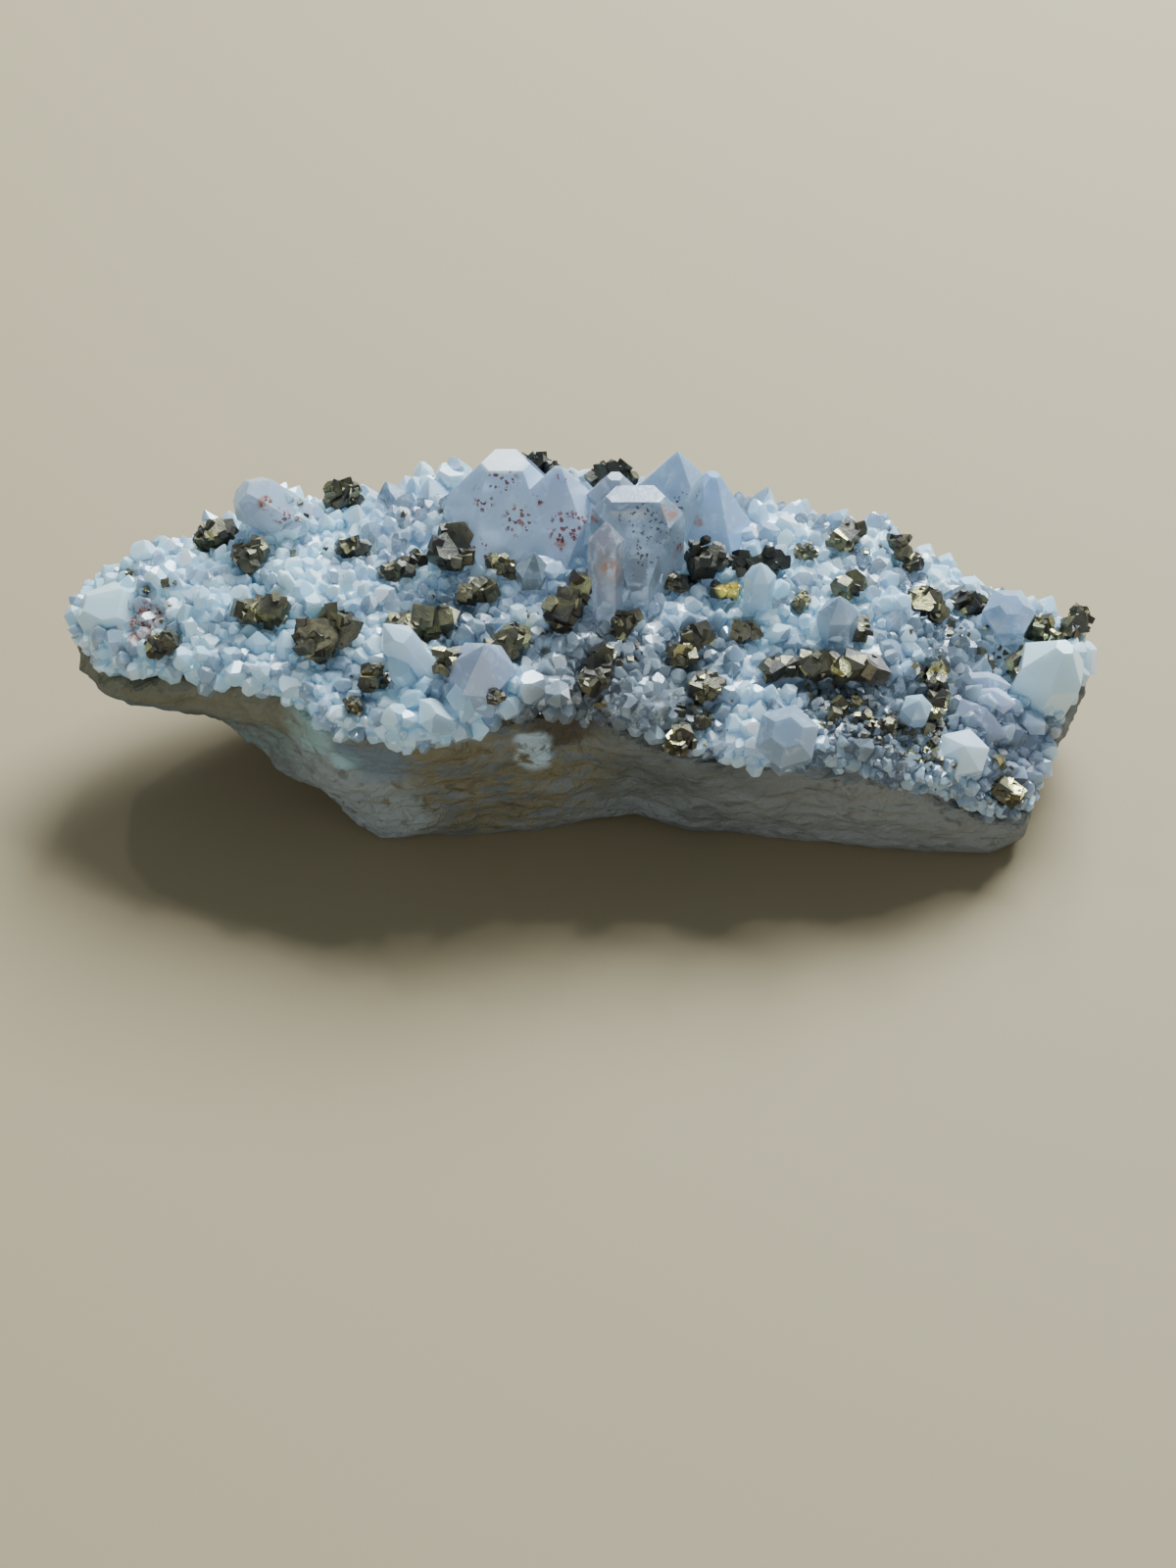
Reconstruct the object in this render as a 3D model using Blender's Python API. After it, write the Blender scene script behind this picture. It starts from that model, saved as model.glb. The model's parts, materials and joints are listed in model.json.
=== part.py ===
"""Quartz and pyrite cluster, about 102 mm long, lying on a flat patch of its matrix rock.

X runs along the cluster, Y from the side that faces the viewer to the back, and Z up. The tables
below are in millimetres, and MM turns them into metres. Places on the druse are given as x and a
climb: 0 at the front rim, 1 on the crest and 2 at the back rim.
"""

import math
import random
from bisect import bisect_right
from itertools import pairwise

import bmesh
import bpy
from mathutils import Euler, Matrix, Vector, noise

MM = 0.001

# Driving dimensions
LENGTH = 100.0
CRUST_DEPTH = 5.0
END_TAPER = 9.0
RIM_HEIGHT = 3.0
RIM_SHARE = 0.12
DOME = 1.4
BACK_DOME = 0.6
GAP = 0.3
ROOM = 0.6
ROOM_DETAIL = 0.7
CRUST_TRIANGLES = 5900
CLUMP_TRIANGLES = 80
ROCK_INSET = 0.7
FOLD_ANGLE = math.radians(176)

# Lines along the cluster, each station being x, y, z
FRONT_RIM = (
    (-50, -4, 14.5), (-47, -7.8, 14.2), (-43.5, -10.8, 14.8), (-40, -12, 16.5), (-32, -13.5, 18),
    (-28, -16, 17.4), (-24, -19, 16), (-17, -20, 15.8), (-9, -19.3, 16.6), (0, -17.5, 17.6),
    (6, -19.3, 14.4), (14, -20, 12.8), (24, -20, 11.6), (32, -20, 10), (37, -20, 6.2),
    (40, -19.2, 4.4), (43.5, -16.6, 4), (45.5, -10.5, 7), (47.5, -7.5, 8.6), (50, -3.4, 10.6),
)
CREST = (
    (-50, -0.5, 17.8), (-46.5, 0.8, 18.8), (-43, 2.5, 20.6), (-38, 4.2, 21.8), (-32, 6.2, 23.8),
    (-22, 8.2, 24.6), (-10, 9.2, 25.4), (2, 9.4, 25.2), (12, 8.4, 23.4), (20, 7.5, 22.8),
    (26, 7, 22.4), (31, 6.2, 20.6), (36, 4.8, 17.8), (42, 3, 14.8), (50, 0.6, 13),
)
BACK_RIM = (
    (-50, 2.5, 14.2), (-43, 8.5, 12.8), (-32, 14, 13), (-20, 17.5, 12.6), (0, 19, 12),
    (18, 17.5, 10.2), (31, 14.5, 9), (42, 9, 6.8), (50, 2.8, 9.6),
)
BASE_FRONT = (
    (-50, -3, 13), (-47, -7, 12.6), (-44, -9, 12.4), (-40, -9.5, 12), (-35, -10.2, 11),
    (-32.5, -10.6, 8.6), (-29.5, -11, 5.6), (-26.5, -12, 3.4), (-22.5, -13.4, 0.6),
    (-19.5, -14.8, -0.7), (-5, -14, -0.6), (5, -12.8, 0.9), (12, -14.2, -0.4),
    (20, -15.4, -0.9), (30, -16.4, -0.9), (37, -16.8, -0.9), (41, -15.8, -0.7),
    (43, -14, 0.4), (45, -8.5, 3.6), (47.5, -6, 6.4), (50, -2.8, 9),
)
BASE_BACK = (
    (-50, 0.5, 12.4), (-44, 4, 10.6), (-35, 8, 8.4), (-30, 9.5, 5), (-25, 10.5, 1.8),
    (-20, 11.5, -0.8), (5, 14.5, -0.9), (20, 13.5, -0.9), (32, 11, -0.9), (40, 7.5, -0.8),
    (44.5, 4.5, 0.6), (50, 0.6, 8.2),
)
CRUST_STATIONS = (-50, -47, -42, -35, -28, -21, -13, -5, 3, 11, 19, 27, 34, 39.5, 43.5, 46.5, 50)
ROCK_STATIONS = (
    -49, -46.5, -43, -39.5, -36, -33, -30, -27, -24, -20, -15, -10, -5, 0, 5, 10, 15,
    20, 25, 30, 35, 39.5, 42.5, 45, 47.5, 49,
)

# The large quartz points: foot, axis, spin in degrees, how far the six sides stand from the axis,
# how high the six tip faces would meet it, and the height where the tip is cut off flat. The first
# side and tip face look to the front, and the others follow anticlockwise seen from above.
LARGE_POINTS = (
    ((-7.6, 3.5, 24.9), (0, 0, 1), 0, (8, 7.2, 4.8, 5, 4.4, 5.8), (9, 9.8, 9.1, 9.2, 9.1, 9.6), 6.9),
    ((-2.3, 2.1, 22.2), (0, 0, 1), 0, (6.5, 3.4, 3.1, 4, 6, 8), (9.9,) * 4 + (10.5, 12.5), None),
    ((2.0, -7.0, 23.3), (0, 0.2, 1), 0, (1.35,) + (1.4,) * 5, (7.7,) + (8.0,) * 5, None),
    ((4.8, -0.9, 23.2), (0, 0, 1), 0, (6, 4, 4, 4, 3.6, 3.6), (9.3, 11, 10.6, 9.6, 10.6, 11), 7.8),
    ((8.9, 4.3, 23.5), (0, 0, 1), 0, (6, 2.1, 2.3, 4, 4, 4), (8.8,) * 6, None),
    ((11.0, 5.9, 21.2), (0.22, 0.1, 1), 0, (6, 5.4, 4.6, 4, 4, 4), (7.7,) * 6, 7.0),
    ((-30.0, 3.8, 25.4), (-0.75, -0.1, 0.7), 10, (2.3,) * 6, (5.6,) * 6, 4.2),
    ((-13.2, 9.0, 24.9), (0.1, 0, 1), 20, (1.4,) * 6, (3.4,) * 6, 2.0),
    ((-15.6, -14.0, 20.8), (-0.55, 0.15, 0.8), -10, (1.1, 1.6, 1.6, 1.5, 1.5, 1.5), (5.4,) * 6, None),
    ((-9.6, -15.9, 20.8), (0.1, -0.2, 0.95), 0, (3, 2.6, 2.6, 3, 3, 3), (5.2,) * 6, None),
    ((44.6, -5.9, 11.2), (0.25, -0.15, 0.95), 20, (3.2, 2.8, 2.4, 3, 3, 3), (7.4,) * 6, 6.4),
    ((41.6, 0.0, 15.3), (0, -0.45, 0.85), 0, (2.2,) * 6, (4.6,) * 6, 3.4),
    ((18.2, -12.0, 17.4), (-0.87, -0.44, -0.21), 0, (0.9,) * 6, (5.5,) * 6, None),
    ((18.9, -18.6, 15.8), (-0.05, -0.6, 0.8), 15, (2.6,) * 6, (4.6,) * 6, 3.0),
    ((35.8, -16.4, 11.5), (-0.05, -0.5, 0.8), 10, (1.9,) + (2.2,) * 5, (4.0,) * 6, None),
    ((38.6, -8.2, 13.4), (0.9, -0.1, 0.15), 20, (0.8, 1.6, 1.6) * 2, (2.6,) * 6, None),
    ((39.2, -10.3, 13.2), (0.8, -0.4, 0.3), 0, (0.8, 1.4, 1.4) * 2, (2.4,) * 6, None),
    ((37.9, -12.8, 12.3), (0.8, -0.3, -0.1), 0, (1.2, 2, 2) * 2, (2.6,) * 6, None),
    ((31.1, -14.4, 14.6), (0.05, -0.4, 0.9), 10, (1.2,) * 6, (4.2,) * 6, None),
    ((16.7, -4.3, 21.6), (0, -0.1, 1), 0, (1.2,) * 6, (4.2,) * 6, None),
    ((24.1, -7.4, 20.0), (0, -0.1, 1), 0, (1.6,) * 6, (4.2,) * 6, None),
    ((-44.6, -3.0, 17.2), (-0.85, -0.05, 0.45), 0, (2.6, 3.4, 3.2, 3, 3, 3.4), (6.2,) * 6, 4.6),
    ((2.9, 1.5, 24.0), (0, 0, 1), 0, (3, 2.4, 2.2) * 2, (8.2,) * 6, 7.4),
    ((-5.2, -4.6, 22.6), (0.1, 0, 1), 0, (1.5,) * 6, (4.4,) * 6, None),
)

# Pyrite clumps by the part of the druse they sit on: x, climb, lift, length, width, turn, kind
PYRITES = {
    "left": (
        (-36.0, 0.93, 0, 3.8, 2.6, 0, "blocks"),
        (-32.3, 0.66, 0, 4.2, 3.6, 70, "wedges"),
        (-30.3, 0.37, 0, 4.7, 3.0, 5, "blocks"),
        (-24.1, 0.39, 0, 6.2, 5.2, 40, "wedges"),
        (-23.8, 1.04, 0, 3.4, 2.6, 0, "blocks"),
        (-20.0, 0.26, 0, 3.0, 2.4, 60, "wedges"),
        (-21.5, 0.17, 0, 1.4, 1.4, 0, "blocks"),
        (-40.0, 0.22, 0, 2.8, 2.2, 20, "blocks"),
        (-22.2, 0.74, 0, 3.0, 1.8, 10, "blocks"),
    ),
    "centre": (
        (-12.5, 0.66, 1.0, 4.6, 4.0, 70, "wedges"),
        (-17.4, 0.65, 0, 4.2, 1.9, 25, "blocks"),
        (-8.0, 0.63, 0, 2.8, 1.8, -40, "blocks"),
        (-10.2, 0.52, 0, 3.6, 2.2, 10, "blocks"),
        (-15.2, 0.43, 0, 6.4, 2.8, 5, "blocks"),
        (-11.3, 0.29, 0, 3.0, 2.4, 0, "blocks"),
        (-6.8, 0.32, 0, 4.4, 3.4, 50, "wedges"),
        (-1.3, 0.42, 0.5, 5.8, 3.4, 70, "blocks"),
        (3.8, 0.41, 0, 3.4, 3.0, 60, "wedges"),
        (1.0, 0.19, 0, 4.8, 3.0, 80, "wedges"),
        (-8.2, 0.12, 1.8, 1.6, 1.6, 0, "blocks"),
    ),
    "crest": (
        (-4.4, 0.95, 2.4, 3.6, 2.3, -20, "wedges"),
        (2.8, 0.94, 2.2, 4.2, 2.9, -10, "wedges"),
        (6.1, 0.92, 0.8, 2.0, 1.8, 0, "blocks"),
        (21.5, 0.83, 0, 2.2, 2.0, 0, "wedges"),
        (25.5, 0.91, 0, 2.8, 2.6, 40, "blocks"),
        (31.5, 0.93, 0, 4.2, 2.4, -50, "wedges"),
        (38.0, 0.89, 0, 3.4, 2.4, 0, "wedges"),
        (44.9, 0.86, 0, 3.4, 2.6, -30, "wedges"),
        (48.9, 1.1, 0.4, 3.2, 2.4, 80, "blocks"),
    ),
    "right": (
        (11.7, 0.7, 0.9, 3.4, 3.4, 0, "blocks"),
        (17.3, 0.74, 0.5, 5.8, 2.4, 8, "wedges"),
        (13.5, 0.63, 0, 2.8, 1.6, 0, "blocks"),
        (8.5, 0.63, 0, 2.6, 1.8, 0, "blocks"),
        (5.0, 0.62, 0.6, 2.6, 1.8, 80, "blocks"),
        (10.0, 0.42, 0, 5.2, 3.0, 47, "wedges"),
        (15.5, 0.5, 0, 3.0, 2.4, 0, "wedges"),
        (20.8, 0.62, 0, 2.0, 1.8, 60, "blocks"),
        (25.5, 0.7, 0, 3.0, 2.6, 0, "wedges"),
        (26.4, 0.55, 0, 2.2, 1.6, 90, "blocks"),
        (33.5, 0.74, 0, 4.4, 3.0, 10, "wedges"),
        (23.0, 0.4, 0, 12.0, 2.6, 4, "blocks"),
        (33.5, 0.41, 0, 7.0, 2.4, 95, "wedges"),
        (43.0, 0.65, 0, 4.6, 2.6, 80, "blocks"),
        (11.2, 0.29, 0, 2.8, 2.6, 0, "blocks"),
        (11.0, 0.18, 0, 1.4, 1.4, 0, "blocks"),
        (8.8, 0.12, 0, 2.6, 2.4, 60, "wedges"),
        (40.5, 0.18, 0, 2.8, 2.2, 0, "blocks"),
    ),
}

# The small quartz crystals that cover the rest of the druse
CRYSTAL_SPACING = 6.0
CRYSTAL_WIDTHS = (4.2, 6.0)
CRYSTAL_RISES = (1.5, 2.5)
CRYSTAL_ROOT = 2.5
CRYSTAL_LEAN = 0.42
LEAST_RISE = 0.35
CRYSTAL_SEED = 7
PYRITE_SEED = 11

# The faces of quartz: the tip's faces lean this far from the axis
TIP_LEAN = math.radians(51.8)


def clear_scene():
    for old in list(bpy.data.objects):
        bpy.data.objects.remove(old)


def material(name, colour, roughness, metallic=0.0, transmission=0.0):
    made = bpy.data.materials.new(name)
    made.use_nodes = True
    shader = made.node_tree.nodes["Principled BSDF"]
    shader.inputs["Base Color"].default_value = (*colour, 1.0)
    shader.inputs["Roughness"].default_value = roughness
    shader.inputs["Metallic"].default_value = metallic
    shader.inputs["Transmission Weight"].default_value = transmission
    return made


def along(line, x):
    """The point of a line at x, on a smooth curve through its stations."""
    stations = [Vector(station) for station in line]
    last = len(stations) - 1
    right = min(max(bisect_right([s.x for s in stations], x), 1), last)
    before, start, end, after = (
        stations[max(right - 2, 0)], stations[right - 1],
        stations[right], stations[min(right + 1, last)],
    )
    t = (x - start.x) / (end.x - start.x)
    slope_in = (end - before) * ((end.x - start.x) / (end.x - before.x))
    slope_out = (after - start) * ((end.x - start.x) / (after.x - start.x))
    point = (
        start * (2 * t**3 - 3 * t**2 + 1) + slope_in * (t**3 - 2 * t**2 + t)
        + end * (3 * t**2 - 2 * t**3) + slope_out * (t**3 - t**2)
    )
    return Vector((x, point.y, point.z))


def crust_point(x, climb):
    """A point on the druse, before its crystals."""
    crest = along(CREST, x)
    edge = along(FRONT_RIM if climb <= 1 else BACK_RIM, x)
    share = climb if climb <= 1 else 2 - climb
    rim_top = edge + Vector((0, 0, RIM_HEIGHT))
    if share < RIM_SHARE:
        return edge.lerp(rim_top, share / RIM_SHARE)
    up = (share - RIM_SHARE) / (1 - RIM_SHARE)
    point = rim_top.lerp(crest, up)
    point.z += (DOME if climb <= 1 else BACK_DOME) * math.sin(math.pi * up)
    return point


def crust_normal(x, climb):
    """The direction that faces out of the druse at a place on it."""
    step = 0.05
    low, high = max(climb - step, 0.0), min(climb + step, 2.0)
    up_hill = crust_point(x, high) - crust_point(x, low)
    near, far = max(x - 1.0, -LENGTH / 2), min(x + 1.0, LENGTH / 2)
    along_x = crust_point(far, climb) - crust_point(near, climb)
    return along_x.cross(up_hill).normalized()


def bumps(point, lump, height, seed):
    """A repeatable unevenness in millimetres, in lumps of about this size."""
    return height * noise.noise(point / lump + Vector((seed, seed, seed)))


def bowed(start, end, out, count):
    """Points between start and end, bowed outwards by a vector in the middle."""
    shares = [(i + 1) / (count + 1) for i in range(count)]
    return [start.lerp(end, t) + out * math.sin(math.pi * t) for t in shares]


def towards_end(x):
    """1 along most of the cluster, falling to 0 at its two ends."""
    return min((LENGTH / 2 - abs(x)) / END_TAPER, 1)


def crust_depth(x):
    return CRUST_DEPTH * (0.4 + 0.6 * towards_end(x))


def crust_section(x):
    """The druse's outline at x, from the front rim over the crest, and back inside the rock."""
    outer = [0, 0.12, 0.38, 0.66, 1.0, 1.3, 1.6, 1.88, 2.0]
    inner = [1.6, 1.0, 0.4]
    sunk = Vector((0, 0, 1.4 * crust_depth(x)))
    points = [crust_point(x, climb) for climb in outer]
    points += [crust_point(x, climb) - sunk for climb in inner]
    return points


def rock_section(x):
    """The rock's outline at x, from the front of its base up, over the top and down the back."""
    base_front, base_back = along(BASE_FRONT, x), along(BASE_BACK, x)
    lip = along(FRONT_RIM, x) + Vector((0, ROCK_INSET, 0))
    heel = along(BACK_RIM, x) - Vector((0, ROCK_INSET, 0))
    sunk = Vector((0, 0, crust_depth(x)))
    top = [crust_point(x, climb) - sunk for climb in (0.4, 1.0, 1.6)]
    front = bowed(base_front, lip, Vector((0, -0.9, 0)), 3)
    back = bowed(heel, base_back, Vector((0, 1.2, 0)), 3)
    outside = [base_front, *front, lip]
    behind = [heel, *back, base_back]
    under = [base_back.lerp(base_front, 0.5)]
    rough = [p + rock_roughness(p) for p in outside]
    rough_behind = [p + rock_roughness(p) for p in behind]
    return [*rough, *top, *rough_behind, *under]


def rock_roughness(point):
    """How far a broken face of the rock stands out or in at a point, less towards its ends."""
    out = bumps(Vector((point.x, point.y, point.z * 2)), 7.0, 1.5, 3.0)
    out += bumps(point, 3.0, 0.6, 8.0)
    side = -1 if point.y < 0 else 1
    return Vector((0, side, 0.3)) * out * towards_end(point.x)


def loft(name, sections, end_bulge):
    """A closed mesh through sections with equally many points, its ends drawn out a little."""
    bm = bmesh.new()
    rings = [[bm.verts.new(p * MM) for p in section] for section in sections]
    for near, far in pairwise(rings):
        for i, corner in enumerate(near):
            following = (i + 1) % len(near)
            bm.faces.new((corner, near[following], far[following], far[i]))
    ends = [bm.faces.new(reversed(rings[0])), bm.faces.new(rings[-1])]
    bmesh.ops.recalc_face_normals(bm, faces=bm.faces)
    bmesh.ops.poke(bm, faces=ends, offset=end_bulge * MM)
    bmesh.ops.triangulate(bm, faces=bm.faces)
    return finish(bm, name)


def finish(bm, name):
    """Turns an edit mesh into a mesh."""
    mesh = bpy.data.meshes.new(name)
    bm.to_mesh(mesh)
    bm.free()
    return mesh


def fill_cut(bm, cut):
    """Closes the hole that a plane cut left."""
    rim = [part for part in cut["geom_cut"] if isinstance(part, bmesh.types.BMEdge)]
    if rim:
        bmesh.ops.edgeloop_fill(bm, edges=rim)


def flat_faced_mesh(name, faces, size):
    """The solid inside flat faces, each given as the way it faces and its distance in mm."""
    bm = bmesh.new()
    bmesh.ops.create_cube(bm, size=size * MM)
    for facing, distance in faces:
        direction = Vector(facing).normalized()
        cut = bmesh.ops.bisect_plane(
            bm, geom=[*bm.verts, *bm.edges, *bm.faces], plane_co=direction * distance * MM,
            plane_no=direction, clear_outer=True, dist=1e-7,
        )
        fill_cut(bm, cut)
    bmesh.ops.remove_doubles(bm, verts=bm.verts, dist=1e-6)
    bmesh.ops.recalc_face_normals(bm, faces=bm.faces)
    return finish(bm, name)


def quartz_faces(spin, sides, tips, cut):
    """A six-sided prism with a tip, about its foot: the distances of its faces in mm."""
    faces = [((0, 0, -1), CRYSTAL_ROOT)]
    if cut is not None:
        faces.append(((0, 0, 1), cut))
    for number, (side, tip) in enumerate(zip(sides, tips)):
        turn = math.radians(spin + 60 * number)
        across = Vector((math.sin(turn), -math.cos(turn), 0))
        faces.append((across, side))
        leaning = across * math.sin(TIP_LEAN) + Vector((0, 0, math.cos(TIP_LEAN)))
        faces.append((leaning, tip * math.cos(TIP_LEAN)))
    return faces


def block_faces(size, chance):
    """A pyrite cube, a little uneven, with a corner gone."""
    faces = [
        (Vector(axis) * sign, size / 2 * chance.uniform(0.8, 1.05))
        for axis in ((1, 0, 0), (0, 1, 0), (0, 0, 1)) for sign in (-1, 1)
    ]
    corner = Vector([chance.choice((-1, 1)) * chance.uniform(0.7, 1) for _ in range(3)])
    faces.append((corner, size * chance.uniform(0.58, 0.68)))
    return faces


def wedge_faces(size, chance):
    """A four-faced wedge with blunt corners."""
    faces = []
    for corner in ((1, 1, 1), (1, -1, -1), (-1, 1, -1), (-1, -1, 1)):
        faces.append((Vector(corner), size * chance.uniform(0.3, 0.36)))
        faces.append((-Vector(corner), size * chance.uniform(0.5, 0.62)))
    return faces


GRAIN_FACES = {"blocks": block_faces, "wedges": wedge_faces}


def link(name, mesh, collection=None):
    made = bpy.data.objects.new(name, mesh)
    (collection or bpy.context.scene.collection).objects.link(made)
    return made


def helpers(name):
    """A collection for shapes that only join or cut others."""
    made = bpy.data.collections.new(name)
    bpy.context.scene.collection.children.link(made)
    return made


def add_helper(name, mesh, collection, placed=None):
    made = link(name, mesh, collection)
    made.hide_render = True
    made.display_type = "WIRE"
    if placed is not None:
        made.matrix_world = placed
    return made


def apply_modifiers(obj):
    graph = bpy.context.evaluated_depsgraph_get()
    mesh = bpy.data.meshes.new_from_object(obj.evaluated_get(graph))
    obj.modifiers.clear()
    obj.data = mesh


def combine(obj, operation, collection):
    """Joins a collection's shapes to the object, or cuts them out of it, and drops them."""
    boolean = obj.modifiers.new(operation.lower(), "BOOLEAN")
    boolean.operation = operation
    boolean.operand_type = "COLLECTION"
    boolean.collection = collection
    apply_modifiers(obj)
    for used in list(collection.objects):
        bpy.data.objects.remove(used)


def bodies_of(bm):
    """The vertices of each separate body of an edit mesh."""
    unseen = set(bm.verts)
    bodies = []
    while unseen:
        body, rim = [], [unseen.pop()]
        while rim:
            vert = rim.pop()
            body.append(vert)
            for edge in vert.link_edges:
                other = edge.other_vert(vert)
                if other in unseen:
                    unseen.discard(other)
                    rim.append(other)
        bodies.append(body)
    return bodies


def simplify(obj, triangles):
    """Leaves about this many triangles, dropping the smallest details first."""
    obj.modifiers.new("triangles", "TRIANGULATE")
    apply_modifiers(obj)
    decimate = obj.modifiers.new("simpler", "DECIMATE")
    decimate.ratio = min(triangles / len(obj.data.polygons), 1)
    apply_modifiers(obj)


def unfold(obj):
    """Closes up each triangle that lies folded back flat on its neighbour."""
    bm = bmesh.new()
    bm.from_mesh(obj.data)
    for _ in range(20):
        folds = [edge for edge in bm.edges if edge.calc_face_angle(0) > FOLD_ANGLE]
        if not folds:
            break
        flap = min(folds[0].link_faces, key=bmesh.types.BMFace.calc_area)
        loose = next(vert for vert in flap.verts if vert not in folds[0].verts)
        kept = min(folds[0].verts, key=lambda vert: (vert.co - loose.co).length)
        bmesh.ops.pointmerge(bm, verts=[kept, loose], merge_co=kept.co)
        bm.normal_update()
    bm.to_mesh(obj.data)
    bm.free()


def keep_largest_body(obj):
    """Deletes the chips that a cut leaves beside the main body."""
    bm = bmesh.new()
    bm.from_mesh(obj.data)
    bodies = sorted(bodies_of(bm), key=len)
    chips = [vert for body in bodies[:-1] for vert in body]
    bmesh.ops.delete(bm, geom=chips, context="VERTS")
    bm.to_mesh(obj.data)
    bm.free()


def rock_mesh():
    """The matrix rock, its underside cut to a flat patch at height 0."""
    bm = bmesh.new()
    sections = [rock_section(x) for x in ROCK_STATIONS]
    bm.from_mesh(loft("rock_loft", sections, 0.8))
    cut = bmesh.ops.bisect_plane(
        bm, geom=[*bm.verts, *bm.edges, *bm.faces], plane_co=(0, 0, 0), plane_no=(0, 0, -1),
        clear_outer=True,
    )
    fill_cut(bm, cut)
    bmesh.ops.remove_doubles(bm, verts=bm.verts, dist=0.01 * MM)
    bmesh.ops.triangulate(bm, faces=bm.faces)
    bmesh.ops.recalc_face_normals(bm, faces=bm.faces)
    return finish(bm, "matrix_rock")


def grown(mesh, distance):
    """A copy of a closed mesh with every face moved out by about this distance."""
    bm = bmesh.new()
    bm.from_mesh(mesh)
    bm.normal_update()
    moves = [vert.normal * min(vert.calc_shell_factor(), 3.0) * distance * MM for vert in bm.verts]
    for vert, move in zip(bm.verts, moves):
        vert.co += move
    return finish(bm, mesh.name + "_grown")


def standing(foot, axis, spin=0.0):
    """Stands a shape's Z axis along a direction at a place in mm, its Y axis close to Y."""
    up = Vector(axis).normalized()
    back = Vector((0, 1, 0)) - up * up.y
    side = back.normalized()
    turn = Matrix((side.cross(up), side, up)).transposed() @ Matrix.Rotation(spin, 3, "Z")
    return Matrix.Translation(Vector(foot) * MM) @ turn.to_4x4()


def plant_crystal(name, foot, axis, faces, crystals):
    """Adds one quartz point whose root is sunk in the druse."""
    mesh = flat_faced_mesh(name, faces, 60)
    add_helper(name, mesh, crystals, standing(foot, axis))


def small_quartz_faces(width, rise, spin, chance):
    """A small point, three of its tip faces larger than the others."""
    sides = [width / 2 * chance.uniform(0.82, 1.0) for _ in range(6)]
    backs = [chance.uniform(0.05, 0.16) if k % 2 else chance.uniform(0, 0.04) for k in range(6)]
    tips = [rise + width * (0.16 - back / math.cos(TIP_LEAN)) for back in backs]
    return quartz_faces(spin, sides, tips, rise)


def clear_of(place, taken):
    return all((place - centre).length > reach for centre, reach in taken)


def plant_small_crystals(taken, crystals):
    """Covers the druse with small points, leaving the places that are taken."""
    chance = random.Random(CRYSTAL_SEED)
    columns = round(LENGTH / CRYSTAL_SPACING)
    for column in range(columns):
        middle = ((column + 0.5) / columns - 0.5) * LENGTH
        girth = sum(
            (crust_point(middle, (i + 1) / 20) - crust_point(middle, i / 20)).length
            for i in range(40)
        )
        rows = round(girth / CRYSTAL_SPACING)
        for row in range(rows):
            x = middle + chance.uniform(-0.4, 0.4) * CRYSTAL_SPACING
            climb = 2 * (row + 0.5 + chance.uniform(-0.35, 0.35)) / rows
            climb = min(max(climb, RIM_SHARE), 2 - RIM_SHARE)
            width = chance.uniform(*CRYSTAL_WIDTHS)
            rise = chance.uniform(*CRYSTAL_RISES)
            lean = Vector([chance.uniform(-1, 1) for _ in range(3)]) * CRYSTAL_LEAN
            spin = chance.uniform(0, 180)
            x = max(min(x, LENGTH / 2 - 1.5), 1.5 - LENGTH / 2)
            foot = crust_point(x, climb)
            if clear_of(foot, taken):
                axis = (crust_normal(x, climb) + Vector((0, 0, 0.35))).normalized() + lean
                axis.z = max(axis.z, LEAST_RISE)
                faces = small_quartz_faces(width, rise, spin, chance)
                plant_crystal(f"crystal_{column}_{row}", foot, axis, faces, crystals)


def grain_places(length, width, chance):
    """Where the grains of a clump lie, each reaching into the next, and how large each is."""
    usual = 0.76 * width
    count = max(2, math.ceil((length - usual) / (0.66 * usual)) + 1)
    for i in range(count):
        share = i / (count - 1) - 0.5
        size = usual * chance.uniform(0.86, 1.14)
        side = chance.uniform(-0.5, 0.5) * (width - usual)
        lift = size * chance.uniform(0.02, 0.28)
        yield Vector((share * (length - usual), side, lift)), size


def grow_clump(name, row, growth, collection):
    """Adds the grains of one pyrite clump to a collection, each face moved out by the growth."""
    x, climb, lift, length, width, turn, kind = row
    chance = random.Random(f"{name} {PYRITE_SEED}")
    seat = crust_point(x, climb) + Vector((0, 0, lift))
    base = standing(seat, crust_normal(x, climb), math.radians(turn))
    for i, (place, size) in enumerate(grain_places(length, width, chance)):
        faces = [(way, out + growth) for way, out in GRAIN_FACES[kind](size, chance)]
        mesh = flat_faced_mesh(f"{name}_grain_{i}", faces, 4 * size)
        tilt = Euler([chance.uniform(-0.5, 0.5) for _ in range(3)]).to_matrix().to_4x4()
        add_helper(mesh.name, mesh, collection, base @ Matrix.Translation(place * MM) @ tilt)


def hull_mesh(collection):
    """The hull around a collection's shapes, which are dropped."""
    bm = bmesh.new()
    for shape in list(collection.objects):
        for vert in shape.data.vertices:
            bm.verts.new(shape.matrix_world @ vert.co)
        bpy.data.objects.remove(shape)
    bmesh.ops.remove_doubles(bm, verts=bm.verts, dist=ROOM_DETAIL * MM)
    hull = bmesh.ops.convex_hull(bm, input=bm.verts)
    inside = [part for part in hull["geom_interior"] if isinstance(part, bmesh.types.BMVert)]
    bmesh.ops.delete(bm, geom=inside, context="VERTS")
    bmesh.ops.recalc_face_normals(bm, faces=bm.faces)
    return finish(bm, collection.name)


def clump_rows():
    """Every pyrite clump's name and row."""
    for area, rows in PYRITES.items():
        for number, row in enumerate(rows, 1):
            yield f"pyrite_{area}_{number:02d}", row


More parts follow.
